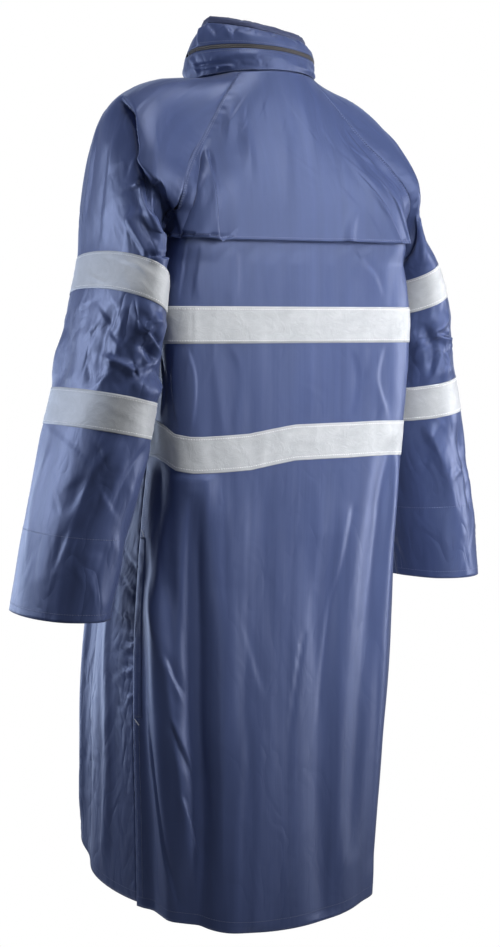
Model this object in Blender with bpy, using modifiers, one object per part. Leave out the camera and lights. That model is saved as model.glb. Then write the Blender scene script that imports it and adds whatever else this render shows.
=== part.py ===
"""Long hooded raincoat of coated nylon, filled out as if worn, with its hood stowed in a zipped stand collar.

Metres, +Z up, the front faces -Y and the wearer's left is +X. The origin is the centre of the neck seam,
where the wearer's neck and shoulders hold the coat. Each cut piece is a thin wall lofted through rows, and
each row is a pair of Bezier curves between a centre line and a seam.
"""

import math

import bmesh
import bpy
import numpy as np
from mathutils import Vector

# Cloth
WALL = 0.0012
TAPE_WALL = 0.0010
SEAM_GAP = 0.0003
SKIN_GAP = 0.0003

# Rows shared by the body pieces, from the neck seam down to the hem
ROW_FLAP_TOP = 4.5
ROW_YOKE_LOOSE = 3.0
ROW_YOKE_EDGE = 5.0
ROW_UNDERARM = 6.0
ROWS_UPPER_TAPE = (7.0, 8.0)
ROWS_LOWER_TAPE = (10.0, 11.0)
ROWS_POCKET = (12.0, 14.0)
ROW_HEM = 16.0

# Rows of the sleeve, from the neck seam down to the cuff
ROWS_SLEEVE_UPPER_TAPE = (7.0, 8.0)
ROWS_SLEEVE_LOWER_TAPE = (10.0, 11.0)
ROW_ARM = 7.0
ROW_CUFF = 14.0
# the sleeve's pieces meet under the middle of its tapes; their ends are this far from there, in rows
ROWS_SLEEVE_SPLIT = (7.5, 10.5)
SPLIT_SHARE = 0.003
SPLIT_INSET = 0.00025

# centre_y, centre_z, centre_reach: the centre back line and how far each row leaves it straight
# seam_x, seam_y, seam_z, seam_reach, seam_turn: the raglan seam, then the side seam, and the angle there
BACK = [
    (0.0895, -0.0040, 0.021, 0.0575, 0.0686, -0.0061, 0.021, 40),
    (0.102, -0.047, 0.045, 0.092, 0.083, -0.047, 0.030, 25),
    (0.112, -0.092, 0.075, 0.127, 0.091, -0.092, 0.040, 18),
    (0.119, -0.135, 0.110, 0.162, 0.100, -0.132, 0.050, 22),
    (0.123, -0.184, 0.165, 0.187, 0.100, -0.179, 0.060, 50),
    (0.125, -0.237, 0.205, 0.190, 0.064, -0.236, 0.090, 84),
    (0.126, -0.268, 0.205, 0.182, 0.025, -0.268, 0.118, 98),
    (0.127, -0.328, 0.215, 0.178, 0.025, -0.328, 0.128, 104),
    (0.127, -0.378, 0.215, 0.178, 0.025, -0.378, 0.128, 104),
    (0.126, -0.440, 0.208, 0.180, 0.025, -0.440, 0.124, 102),
    (0.124, -0.501, 0.198, 0.183, 0.025, -0.501, 0.118, 99),
    (0.122, -0.551, 0.188, 0.187, 0.025, -0.551, 0.112, 96),
    (0.120, -0.650, 0.160, 0.198, 0.028, -0.650, 0.100, 90),
    (0.119, -0.780, 0.140, 0.205, 0.028, -0.780, 0.095, 84),
    (0.120, -0.905, 0.132, 0.204, 0.024, -0.900, 0.095, 82),
    (0.123, -1.060, 0.124, 0.195, 0.014, -1.045, 0.100, 80),
    (0.127, -1.203, 0.120, 0.188, 0.006, -1.174, 0.100, 80),
]
FRONT = [
    (-0.0895, -0.0220, 0.024, 0.0644, -0.0622, -0.0193, 0.024, 46),
    (-0.101, -0.057, 0.045, 0.088, -0.080, -0.047, 0.030, 28),
    (-0.116, -0.095, 0.065, 0.115, -0.094, -0.090, 0.040, 25),
    (-0.130, -0.140, 0.090, 0.142, -0.097, -0.140, 0.050, 35),
    (-0.141, -0.187, 0.110, 0.165, -0.084, -0.185, 0.060, 52),
    (-0.149, -0.235, 0.130, 0.178, -0.042, -0.235, 0.085, 75),
    (-0.153, -0.268, 0.140, 0.182, 0.025, -0.268, 0.115, 90),
    (-0.158, -0.328, 0.145, 0.178, 0.025, -0.328, 0.125, 88),
    (-0.161, -0.378, 0.145, 0.178, 0.025, -0.378, 0.130, 88),
    (-0.166, -0.440, 0.150, 0.180, 0.025, -0.440, 0.140, 88),
    (-0.172, -0.501, 0.155, 0.183, 0.025, -0.501, 0.150, 89),
    (-0.179, -0.551, 0.160, 0.187, 0.025, -0.551, 0.160, 90),
    (-0.196, -0.640, 0.175, 0.198, 0.028, -0.650, 0.180, 93),
    (-0.213, -0.757, 0.185, 0.205, 0.028, -0.780, 0.200, 96),
    (-0.223, -0.858, 0.190, 0.204, 0.024, -0.900, 0.210, 98),
    (-0.231, -0.975, 0.190, 0.195, 0.014, -1.045, 0.212, 99),
    (-0.236, -1.068, 0.190, 0.188, 0.006, -1.168, 0.212, 100),
]
# half the distance, along X, between the edges of the body and of the sleeve on their shared seam
SEAM_APART = [0.0003, 0.0003, 0.0003, 0.0006, 0.0011, 0.0015, 0.0022]

# crest_x, crest_y, crest_z, back_reach, front_reach: the top line over the shoulder and outside of the arm
CREST = [
    (0.0895, 0.000, -0.0130, 0.026, 0.023),
    (0.148, 0.002, -0.020, 0.052, 0.048),
    (0.196, 0.000, -0.040, 0.072, 0.064),
    (0.225, 0.004, -0.070, 0.085, 0.078),
    (0.240, 0.010, -0.112, 0.100, 0.094),
    (0.249, 0.018, -0.160, 0.125, 0.118),
    (0.255, 0.026, -0.208, 0.152, 0.145),
]
# back_turn, back_reach, front_turn, front_reach, arch: how the sleeve's rows leave the raglan seams
SLEEVE_SEAM = [
    (-40, 0.026, -46, 0.023, 0.3),
    (-28, 0.034, -30, 0.034, 0.5),
    (-10, 0.038, -12, 0.038, 0.5),
    (18, 0.040, 15, 0.040, 0.45),
    (55, 0.052, 50, 0.052, 0.35),
    (76, 0.088, 72, 0.088, 0.2),
    (86, 0.140, 86, 0.140, 0.0),
]
# centre_x, centre_y, half_x, half_y, outer_z, inner_z: the rings of the sleeve below the underarm
ARM = [
    (0.2205, 0.033, 0.0345, 0.120, -0.254, -0.298),
    (0.2320, 0.042, 0.0410, 0.118, -0.304, -0.346),
    (0.2400, 0.036, 0.0480, 0.116, -0.370, -0.405),
    (0.2480, 0.030, 0.0535, 0.115, -0.437, -0.461),
    (0.2570, 0.026, 0.0580, 0.112, -0.487, -0.509),
    (0.2720, 0.022, 0.0600, 0.105, -0.555, -0.570),
    (0.2885, 0.018, 0.0600, 0.100, -0.630, -0.640),
    (0.3077, 0.011, 0.0580, 0.098, -0.738, -0.742),
]

# Worn pose: the left shoulder stands higher, the right cuff is lifted
SHOULDER_LIFT = {"left": 0.008, "right": -0.006}
SHOULDER_OUT = {
    "left": (0.000, -0.003, -0.004, -0.004, -0.004, -0.004, -0.003),
    "right": (0.000, -0.016, -0.022, -0.030, -0.036, -0.030, -0.018),
}
SHOULDER_FORWARD = {
    "left": (0.000, 0.000, 0.000, 0.000, 0.000, 0.000, 0.000),
    "right": (0.000, 0.000, 0.005, 0.014, 0.022, 0.025, 0.024),
}
ARM_LIFT = {
    "left": (0.000, 0.000, 0.000, 0.000, 0.000, -0.003, -0.005, -0.006),
    "right": (0.002, 0.004, 0.010, 0.014, 0.014, 0.013, 0.012, 0.012),
}
ARM_OUT = {
    "left": (0.000, 0.000, 0.000, 0.000, 0.000, 0.000, 0.000, 0.000),
    "right": (0.008, 0.008, 0.007, 0.006, 0.006, 0.006, 0.006, 0.006),
}
ARM_FORWARD = {
    "left": (0.000, 0.000, 0.000, 0.000, 0.000, 0.000, 0.000, 0.000),
    "right": (0.024, 0.028, 0.024, 0.018, 0.014, 0.010, 0.010, 0.010),
}
# the body hangs a little to the wearer's right, by this much at these rows
SWAY_ROWS = (1.0, 4.0, 6.0, 11.0, 13.0, 16.0)
SWAY = (0.000, 0.010, 0.006, 0.008, 0.002, -0.002)
# the lower tape rises on the right of the back
TILT_ROWS = (8.5, 10.0, 11.0, 12.5)
TILT = (0.000, 0.013, 0.013, 0.000)

# place_top, place_bottom, row_top, row_bottom, width, depth: the main folds. A place round the body is 0 at the
# centre back, 1 at the left side seam and 2 at the centre front, and negative on the right
BODY_FOLDS = [
    (0.60, 0.55, 11.3, 17.5, 0.070, -0.013),
    (0.78, 0.70, 11.6, 17.5, 0.070, 0.007),
    (0.92, 0.86, 12.0, 17.5, 0.055, -0.009),
    (0.30, 0.36, 12.5, 17.5, 0.090, 0.005),
    (-0.52, -0.60, 11.0, 17.5, 0.080, 0.007),
    (-0.80, -0.80, 10.8, 17.5, 0.120, 0.004),
    (-0.42, -0.33, 9.5, 15.5, 0.055, -0.007),
    (-0.10, -0.17, 12.0, 16.2, 0.080, -0.006),
    (1.30, 1.36, 11.5, 17.5, 0.080, -0.010),
    (1.58, 1.62, 10.5, 17.5, 0.090, 0.008),
    (-1.25, -1.33, 11.0, 17.5, 0.080, -0.011),
    (-1.55, -1.60, 10.0, 17.5, 0.085, 0.008),
]
YOKE_FOLDS = [
    (1.00, 0.58, 2.0, 5.8, 0.060, -0.004),
    (0.80, 0.80, 3.4, 5.8, 0.090, 0.003),
    (-0.88, -0.72, 2.4, 5.8, 0.070, -0.003),
]
# A place round the sleeve is -1 at the front seam, 0 on the crest and 1 at the back seam
SLEEVE_FOLDS = [
    (0.60, 0.84, 3.0, 6.4, 0.080, -0.010),
    (0.44, 0.66, 3.2, 6.8, 0.090, 0.006),
    (0.62, 0.40, 8.6, 9.7, 0.100, -0.008),
    (0.30, 0.62, 8.9, 10.2, 0.090, 0.004),
    (-0.50, -0.64, 3.2, 6.5, 0.090, -0.008),
    (-0.60, -0.40, 8.4, 9.8, 0.120, -0.008),
    (0.50, 0.20, 11.2, 12.6, 0.100, -0.005),
]
FOLD_FADE = 0.9
SEAM_HOLD = 0.05

# Stand collar. radius, centre_y, z, tilt, front_drop: tilt lifts the left side, front_drop lowers the front
COLLAR_SEAM = (0.0888, 0.000, -0.0026, 0.0000, 0.018)
COLLAR_LOW = (0.0925, -0.004, 0.0120, 0.0060, 0.018)
COLLAR_ZIP = (0.0905, -0.004, 0.0285, 0.0075, 0.018)
COLLAR_HIGH = (0.0845, 0.000, 0.0450, 0.0120, 0.017)
COLLAR_TOP = (0.0745, 0.003, 0.0555, 0.0155, 0.016)
COLLAR_ROLL = [
    (0.0742, 0.003, 0.0563, 0.0155, 0.016),
    (0.0732, 0.003, 0.0620, 0.0155, 0.016),
    (0.0705, 0.003, 0.0650, 0.0155, 0.016),
    (0.0670, 0.003, 0.0646, 0.0155, 0.016),
    (0.0650, 0.002, 0.0590, 0.0150, 0.016),
    (0.0675, 0.000, 0.0420, 0.0110, 0.017),
    (0.0730, -0.004, 0.0220, 0.0075, 0.018),
    (0.0775, -0.002, -0.0030, 0.0000, 0.018),
]
COLLAR_OPEN_DEG = 0.4
ZIP_HALF_WIDTH = 0.0030
ZIP_CLEAR = 0.0005
ZIP_INSET_DEG = 8.0
ZIP_END_DEG = 98.0
ZIP_CLOSE_DEG = 10.0

# Front closing and pocket mouths
FLAP_HALF_WIDTH = 0.030
FLAP_ROWS = (0.3, 15.8)
STUD_ROWS = (1.5, 3.5, 5.5, 9.0, 12.0, 14.0)
STUD_OFFSET = 0.016
STUD_RADIUS = 0.0065
STUD_HEIGHT = 0.0022
WELT_INSET = (0.12, 0.94)
YOKE_FLARE = 0.004
UNDER_YOKE = 0.0035
MOUTH_DEPTH = 0.006
MOUTH_SHARE = 0.12
TAPE_INSET = 0.0010

BACK_COLUMNS = 30
FRONT_COLUMNS = 10
SLEEVE_COLUMNS = 22
COLLAR_COLUMNS = 41
ZIP_COLUMNS = 23
YOKE_SEWN_SHARE = 0.25

# Zip pull, as length along the zip, depth out from the collar and height
SLIDER_DEG = -88.0
SLIDER_SIZE = (0.0110, 0.0034, 0.0080)
LUG_SIZE = (0.0032, 0.0042, 0.0012)
PIN_OUT = 0.0024
PIN_RADIUS = 0.0006
TAB_SIZE = (0.0240, 0.0014, 0.0034)
EYE_RADIUS = 0.0017
EYE_BORE = 0.0010
ROUND_SIDES = 16


def smooth_rows(table, at, seam_columns):
    """Values between the rows of a table, on smooth curves through them; at holds row numbers.

    The seam's columns turn a corner at the underarm, where the raglan seam meets the side seam.
    """
    rows = np.array(table, float)
    slopes_above = np.gradient(rows, axis=0)
    slopes_below = slopes_above.copy()
    corner = int(ROW_UNDERARM)
    slopes_above[corner, seam_columns] = (rows[corner] - rows[corner - 1])[seam_columns]
    slopes_below[corner, seam_columns] = (rows[corner + 1] - rows[corner])[seam_columns]
    low = np.clip(np.floor(at).astype(int), 0, len(rows) - 2)
    t = (np.asarray(at, float) - low)[:, None]
    start = (1 + 2 * t) * (1 - t) ** 2 * rows[low] + t * (1 - t) ** 2 * slopes_below[low]
    end = t**2 * (3 - 2 * t) * rows[low + 1] - t**2 * (1 - t) * slopes_above[low + 1]
    return start + end


def points_of(*columns):
    """Columns of x, y and z as an array of points."""
    return np.stack(np.broadcast_arrays(*columns), axis=-1)


def bezier(ends, s):
    """Points along each row's cubic curve; ends is rows x 4 x 3 and s is rows x columns."""
    weights = np.stack([(1 - s) ** 3, 3 * s * (1 - s) ** 2, 3 * s**2 * (1 - s), s**3])
    return np.einsum("rkc,krn->rnc", ends, weights)


def sway(side, at):
    """How far each row of a half that is built at +X moves out as the body hangs to the right."""
    return np.interp(at, SWAY_ROWS, SWAY) * (1 if side == "right" else -1)


def body_half(table, side, facing, at, s):
    """Half rows of the body at +X, from the centre line at s = 0 to the seam at s = 1."""
    rows = smooth_rows(table, at, slice(3, 6))
    centre_y, centre_z, centre_reach, x, y, z, reach, turn = rows.T
    apart = np.interp(at, range(len(SEAM_APART)), SEAM_APART)
    turn = np.radians(turn)
    centre = points_of(SEAM_GAP / 2 if facing < 0 else 0.0, centre_y, centre_z)
    leave = points_of(centre_reach, centre_y, centre_z)
    seam = points_of(x - apart, y + facing * SEAM_GAP / 2, z)
    arrive = seam + points_of(-reach * np.cos(turn), facing * reach * np.sin(turn), 0.0)
    half = bezier(np.stack([centre, leave, arrive, seam], axis=1), s)
    half[..., 0] += sway(side, at)[:, None]
    return half


def sleeve_table(body_table, column, side):
    """Rows of a sleeve half: crest x, y, z and reach, then seam x, y, z, reach, turn and arch."""
    rows = []
    for row, crest in enumerate(CREST):
        seam = body_table[row][3:6]
        seam_x = seam[0] + SEAM_APART[row] + float(sway(side, row))
        turn, reach = SLEEVE_SEAM[row][column : column + 2]
        raised = max(0.0, math.sin(math.pi * row / ROW_ARM)) ** 0.5
        lift = SHOULDER_LIFT[side] * raised
        out = SHOULDER_OUT[side][row]
        forward = SHOULDER_FORWARD[side][row]
        rows.append(
            (crest[0] + out, crest[1] - forward, crest[2] + lift, crest[3 + column // 2])
            + (seam_x, seam[1], seam[2], reach, turn, SLEEVE_SEAM[row][4])
        )
    for row, (x, y, half_x, half_y, outer_z, inner_z) in enumerate(ARM):
        lift = ARM_LIFT[side][row]
        reach = half_y * 4 / 3
        x += ARM_OUT[side][row]
        y -= ARM_FORWARD[side][row]
        rows.append(
            (x + half_x, y, outer_z + lift, reach)
            + (x - half_x, y, inner_z + lift, reach, 90, 0.0)
        )
    return rows


def sleeve_half(side, facing, at, s):
    """Half rows of a sleeve at +X, from the crest at s = 0 to the seam at s = 1."""
    body_table, column = (BACK, 0) if facing > 0 else (FRONT, 2)
    rows = smooth_rows(sleeve_table(body_table, column, side), at, slice(4, 7))
    crest_x, crest_y, crest_z, crest_reach, x, y, z, reach, turn, arch = rows.T
    turn = np.radians(turn)
    crest = points_of(crest_x, crest_y, crest_z)
    leave = crest + points_of(0.0, facing * crest_reach, 0.0)
    seam = points_of(x, y + facing * SEAM_GAP / 2, z)
    rise = arch * (crest_z - z)
    arrive = seam + points_of(reach * np.cos(turn), facing * reach * np.sin(turn), rise)
    return bezier(np.stack([crest, leave, arrive, seam], axis=1), s)


def normals_of(grid):
    """Outward unit normals of a grid whose rows run down and whose columns run anticlockwise seen from above."""
    down = np.gradient(grid, axis=0)
    along = np.gradient(grid, axis=1)
    normal = np.cross(down, along)
    return normal / np.linalg.norm(normal, axis=2, keepdims=True)


def relief(folds, place, at):
    """Height of the folds over the plain surface at each row and place, both rows x columns."""
    height = np.zeros(place.shape)
    for top, bottom, row_top, row_bottom, width, depth in folds:
        middle = np.interp(at, (row_top, row_bottom), (top, bottom))[:, None]
        shape = np.exp(-(((place - middle) / width) ** 2))
        fade_in = np.clip((at - row_top) / FOLD_FADE, 0, 1)
        fade_out = np.clip((row_bottom - at) / FOLD_FADE, 0, 1)
        fade = fade_in * (2 - fade_in) * fade_out * (2 - fade_out)
        height += depth * shape * fade[:, None]
    flat_seam = 1 - np.exp(-(((np.abs(place) - 1) / SEAM_HOLD) ** 2))
    return height * flat_seam


def rows_between(first, last):
    """Half rows, both ends included."""
    return np.linspace(first, last, round((last - first) / 0.5) + 1)


def rows_below(last):
    """Whole rows under the underarm."""
    return np.arange(ROW_UNDERARM + 1, last + 0.5)


def evenly(at, columns):
    """The same even steps from 0 to 1 on each row."""
    return np.tile(np.linspace(0, 1, columns + 1), (len(at), 1))


def flap_share(at, across):
    """How far along each row of a front its points are at this distance from the centre line."""
    reach = smooth_rows(FRONT, at, slice(3, 6))[:, 2]
    return across / (3 * reach[:, None])


def tilt_share(place):
    """0 on the left of the back, 1 on the right, back to 0 at the centre front."""
    rise = np.clip((0.45 - place) / 0.8, 0, 1)
    fall = np.clip((2 + place) / 0.8, 0, 1)
    return rise**2 * (3 - 2 * rise) * fall


def back_grid(at, columns, folds):
    """The back from the left seam to the right one."""
    s = evenly(at, columns // 2)
    left = body_half(BACK, "left", 1, at, s)
    right = body_half(BACK, "right", 1, at, s) * (-1, 1, 1)
    grid = np.concatenate([left[:, :0:-1], right], axis=1)
    place = np.concatenate([s[:, :0:-1], -s], axis=1)
    grid[..., 2] += np.interp(at, TILT_ROWS, TILT)[:, None] * tilt_share(place)
    return grid + normals_of(grid) * relief(folds, place, at)[..., None]


def front_grid(side, at, columns):
    """One front between the centre line and its side seam."""
    under_flap = flap_share(at, FLAP_HALF_WIDTH + SKIN_GAP)
    s = np.concatenate([0 * under_flap, under_flap + (1 - under_flap) * evenly(at, columns)], axis=1)
    grid = body_half(FRONT, side, -1, at, s)
    place = 2 - s
    if side == "right":
        grid = (grid * (-1, 1, 1))[:, ::-1]
        place = -place[:, ::-1]
        grid[..., 2] += np.interp(at, TILT_ROWS, TILT)[:, None] * tilt_share(place)
    grid = grid + normals_of(grid) * relief(BODY_FOLDS, place, at)[..., None]
    row_top, row_bottom = ROWS_POCKET
    along = np.clip((at - row_top) / (row_bottom - row_top), 0, 1)
    edge = np.clip((MOUTH_SHARE - np.abs(np.abs(place) - 1)) / MOUTH_SHARE, 0, 1)
    sink = MOUTH_DEPTH * np.sin(math.pi * along)[:, None] * edge**2
    return grid - normals_of(grid) * sink[..., None]


def sleeve_grid(side, at, columns):
    """A sleeve from its front seam over the crest to its back seam."""
    s = evenly(at, columns // 2)
    front = sleeve_half(side, -1, at, s)
    back = sleeve_half(side, 1, at, s)
    grid = np.concatenate([front[:, :0:-1], back], axis=1)
    place = np.concatenate([-s[:, :0:-1], s], axis=1)
    if side == "right":
        grid = (grid * (-1, 1, 1))[:, ::-1]
        place = place[:, ::-1]
    return grid + normals_of(grid) * relief(SLEEVE_FOLDS, place, at)[..., None]


def collar_ring(row, degrees):
    """A ring of the collar; degrees are 0 at the centre back and grow towards the left."""
    radius, centre_y, z, tilt, front_drop = row
    angle = np.radians(degrees)
    height = z + tilt * np.sin(angle) - front_drop * (1 - np.cos(angle)) / 2
    return points_of(radius * np.sin(angle), centre_y + radius * np.cos(angle), height)


def zip_half_width(degrees):
    """The slot for the zip closes to the gap of a plain seam past each end of the zip."""
    open_share = np.clip((ZIP_END_DEG + ZIP_CLOSE_DEG - np.abs(degrees)) / ZIP_CLOSE_DEG, 0, 1)
    return SEAM_GAP / 2 + (ZIP_HALF_WIDTH - SEAM_GAP / 2) * open_share


def collar_grid(rows, degrees, zip_edge=0):
    """A collar piece from its upper row down; zip_edge is 1 or -1 where its edge is above or below the zip."""
    grid = np.stack([collar_ring(row, degrees) for row in rows])
    if zip_edge:
        edge_row = -1 if zip_edge > 0 else 0
        grid[edge_row, :, 2] += zip_edge * zip_half_width(degrees)
    return grid


def material(name, color, roughness, metallic=0.0):
    made = bpy.data.materials.new(name)
    made.use_nodes = True
    shader = made.node_tree.nodes["Principled BSDF"]
    shader.inputs["Base Color"].default_value = (*color, 1.0)
    shader.inputs["Roughness"].default_value = roughness
    shader.inputs["Metallic"].default_value = metallic
    return made


def add_mesh(name, mesh, finish):
    piece = bpy.data.objects.new(name, mesh)
    mesh.materials.append(finish)
    coat.objects.link(piece)
    return piece


def add_wall(name, grid, finish, thickness=WALL):
    """A cloth piece: the open surface of a grid, made a wall with Solidify."""
    count_down, count_along = grid.shape[:2]
    faces = []
    for i in range(count_down - 1):
        for j in range(count_along - 1):
            corner = i * count_along + j
            faces.append((corner, corner + count_along, corner + count_along + 1, corner + 1))
    mesh = bpy.data.meshes.new(name)
    mesh.from_pydata([tuple(p) for p in grid.reshape(-1, 3)], [], faces)
    mesh.shade_smooth()
    piece = add_mesh(name, mesh, finish)
    wall = piece.modifiers.new("wall", "SOLIDIFY")
    wall.thickness = thickness
    wall.offset = 0.0
    wall.use_even_offset = False
    return piece


def moved_out(grid, normal, thickness):
    """The points of a piece that lies on a wall with these points."""
    return grid + normal * (WALL / 2 + SKIN_GAP + thickness / 2)


def drawn_in(grid, end, inner, inset):
    """A copy of a grid whose end column is moved towards the one beside it."""
    drawn = grid.copy()
    step = grid[:, inner] - grid[:, end]
    drawn[:, end] += step * inset / np.linalg.norm(step, axis=1, keepdims=True)
    return drawn


def part_of(grid, at, rows, columns=slice(None)):
    """The stretch of a grid between two of its rows, moved out to lie on it, with its ends drawn in."""
    inside = (at > rows[0] - 1e-6) & (at < rows[1] + 1e-6)
    tape = moved_out(grid, normals_of(grid), TAPE_WALL)[inside][:, columns]
    return drawn_in(drawn_in(tape, 0, 1, TAPE_INSET), -1, -2, TAPE_INSET)


def add_stud(name, flap, flap_rows, row):
    """The domed cap of a press stud on the storm flap."""
    index = int(np.argmin(np.abs(flap_rows - row)))
    normal = normals_of(flap)[index, 2]
    share = STUD_OFFSET / FLAP_HALF_WIDTH * 2
    low, part = int(share), share % 1
    point = flap[index, 2 + low] * (1 - part) + flap[index, 3 + low] * part
    centre = point + normal * (WALL / 2 + SKIN_GAP + STUD_HEIGHT / 2)
    bpy.ops.mesh.primitive_cylinder_add(
        vertices=ROUND_SIDES, radius=STUD_RADIUS, depth=STUD_HEIGHT, location=tuple(centre)
    )
    stud = bpy.context.object
    stud.rotation_euler = Vector(normal).to_track_quat("Z", "Y").to_euler()
    take_primitive(stud, name, metal)
    dome = stud.modifiers.new("dome", "BEVEL")
    dome.width = STUD_HEIGHT * 0.4
    dome.segments = 2
    dome.limit_method = "ANGLE"


def take_primitive(piece, name, finish):
    """Name a primitive, give it its material and move it into the coat's collection."""
    piece.name = name
    piece.data.name = name
    piece.data.materials.append(finish)
    for holder in list(piece.users_collection):
        holder.objects.unlink(piece)
    coat.objects.link(piece)


def add_box_to(mesh, size, centre):
    made = bmesh.ops.create_cube(mesh, size=1.0)
    bmesh.ops.scale(mesh, vec=size, verts=made["verts"])
    bmesh.ops.translate(mesh, vec=centre, verts=made["verts"])


def add_cylinder_to(mesh, radius, height, centre):
    made = bmesh.ops.create_cone(
        mesh, cap_ends=True, segments=ROUND_SIDES, radius1=radius, radius2=radius, depth=height
    )
    bmesh.ops.translate(mesh, vec=centre, verts=made["verts"])


def piece_of(name, collection, build):
    """An object whose mesh is filled by a function that adds shapes to a bmesh."""
    shape = bmesh.new()
    build(shape)
    mesh = bpy.data.meshes.new(name)
    shape.to_mesh(mesh)
    shape.free()
    piece = bpy.data.objects.new(name, mesh)
    collection.objects.link(piece)
    return piece


def cut_or_join(piece, other, operation):
    """A Boolean with another object, which is left out of the build as a cutter."""
    other.hide_render = True
    other.display_type = "WIRE"
    step = piece.modifiers.new(operation.lower(), "BOOLEAN")
    step.operation = operation
    step.solver = "EXACT"
    step.object = other


def add_zip_pull():
    """The slider on the collar's zip, and the pull tab that swings on its pin."""
    at = np.array([SLIDER_DEG])
    zip_point = collar_ring(COLLAR_ZIP, at)[0]
    angle = math.radians(SLIDER_DEG)
    outward = np.array([math.sin(angle), math.cos(angle), 0.0])
    back_face = WALL / 2 + SKIN_GAP
    length, depth, height = SLIDER_SIZE
    lug_length, lug_depth, lug_height = LUG_SIZE
    pin = zip_point + outward * (back_face + depth + PIN_OUT)
    tab_length, tab_depth, tab_height = TAB_SIZE
    lug_z = tab_height / 2 + SKIN_GAP + lug_height / 2
    plate_y = -PIN_OUT - depth / 2

    def slider_shape(shape):
        add_box_to(shape, (length, depth, height), (0.0, plate_y, 0.0))

    def lug_shape(sign):
        def build(shape):
            lug_y = -PIN_OUT + lug_depth / 2 - 0.0004
            add_box_to(shape, (lug_length, lug_depth, lug_height), (0.0, lug_y, sign * lug_z))

        return build

    def pin_shape(shape):
        add_cylinder_to(shape, PIN_RADIUS, 2 * lug_z, (0.0, 0.0, 0.0))

    def eye_shape(shape):
        add_cylinder_to(shape, EYE_RADIUS, tab_height, (0.0, 0.0, 0.0))

    def blade_shape(shape):
        blade = tab_length - EYE_BORE
        add_box_to(shape, (blade, tab_depth, tab_height), (-EYE_BORE - blade / 2, 0.0, 0.0))

    def bore_shape(shape):
        add_cylinder_to(shape, EYE_BORE, 2 * tab_height, (0.0, 0.0, 0.0))

    slider = piece_of("collar_zip_slider", coat, slider_shape)
    for sign in (-1, 1):
        cut_or_join(slider, piece_of(f"cutter_lug_{sign + 1}", cutters, lug_shape(sign)), "UNION")
    cut_or_join(slider, piece_of("cutter_pin", cutters, pin_shape), "UNION")
    tab = piece_of("collar_zip_pull", coat, eye_shape)
    cut_or_join(tab, piece_of("cutter_blade", cutters, blade_shape), "UNION")
    cut_or_join(tab, piece_of("cutter_bore", cutters, bore_shape), "DIFFERENCE")
    for piece in (slider, tab):
        piece.data.materials.append(metal)
    for piece in [slider, tab, *cutters.objects]:
        piece.location = tuple(pin)
        piece.rotation_euler = (0.0, 0.0, -angle)


for old in list(bpy.data.objects):
    bpy.data.objects.remove(old, do_unlink=True)
coat = bpy.data.collections.new("hooded_raincoat")
bpy.context.scene.collection.children.link(coat)
cutters = bpy.data.collections.new("cutters")
bpy.context.scene.collection.children.link(cutters)

navy = material("navy_nylon", (0.105, 0.135, 0.290), 0.42)
navy_dark = material("navy_facing", (0.060, 0.070, 0.130), 0.55)
silver = material("reflective_tape", (0.58, 0.60, 0.64), 0.50)
zip_brown = material("zip_coil", (0.045, 0.043, 0.047), 0.50)
metal = material("dark_metal", (0.22, 0.22, 0.24), 0.35, 1.0)

# Back, its yoke flap and the tapes on it
body_rows = np.concatenate([rows_between(ROW_FLAP_TOP, ROW_UNDERARM), rows_below(ROW_HEM)])
back = back_grid(body_rows, BACK_COLUMNS, BODY_FOLDS)
sunk = UNDER_YOKE * np.clip(ROW_UNDERARM - body_rows, 0, 1)
back = back - normals_of(back) * sunk[:, None, None]
add_wall("back_panel", back, navy)
add_wall("tape_upper_back", part_of(back, body_rows, ROWS_UPPER_TAPE), silver, TAPE_WALL)
add_wall("tape_lower_back", part_of(back, body_rows, ROWS_LOWER_TAPE), silver, TAPE_WALL)

yoke_rows = rows_between(0.0, ROW_YOKE_EDGE)
yoke = back_grid(yoke_rows, BACK_COLUMNS, YOKE_FOLDS)
middle = np.clip((1 - np.abs(np.linspace(-1, 1, yoke.shape[1]))) / YOKE_SEWN_SHARE, 0, 1)
drop = np.clip((yoke_rows - ROW_YOKE_LOOSE) / (ROW_YOKE_EDGE - ROW_YOKE_LOOSE), 0, 1)
flare = YOKE_FLARE * drop[:, None] * middle[None, :]
add_wall("back_yoke", yoke + normals_of(yoke) * flare[..., None], navy)

# Fronts and their tapes
front_rows = np.concatenate([rows_between(0.0, ROW_UNDERARM), rows_below(ROW_HEM)])
for side in ("left", "right"):
    front = front_grid(side, front_rows, FRONT_COLUMNS)
    add_wall(f"front_{side}", front, navy)
    for tape, rows in (("upper", ROWS_UPPER_TAPE), ("lower", ROWS_LOWER_TAPE)):
        beside_flap = slice(1, None) if side == "left" else slice(None, -1)
        piece = part_of(front, front_rows, rows, beside_flap)
        add_wall(f"tape_{tape}_front_{side}", piece, silver, TAPE_WALL)

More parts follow.
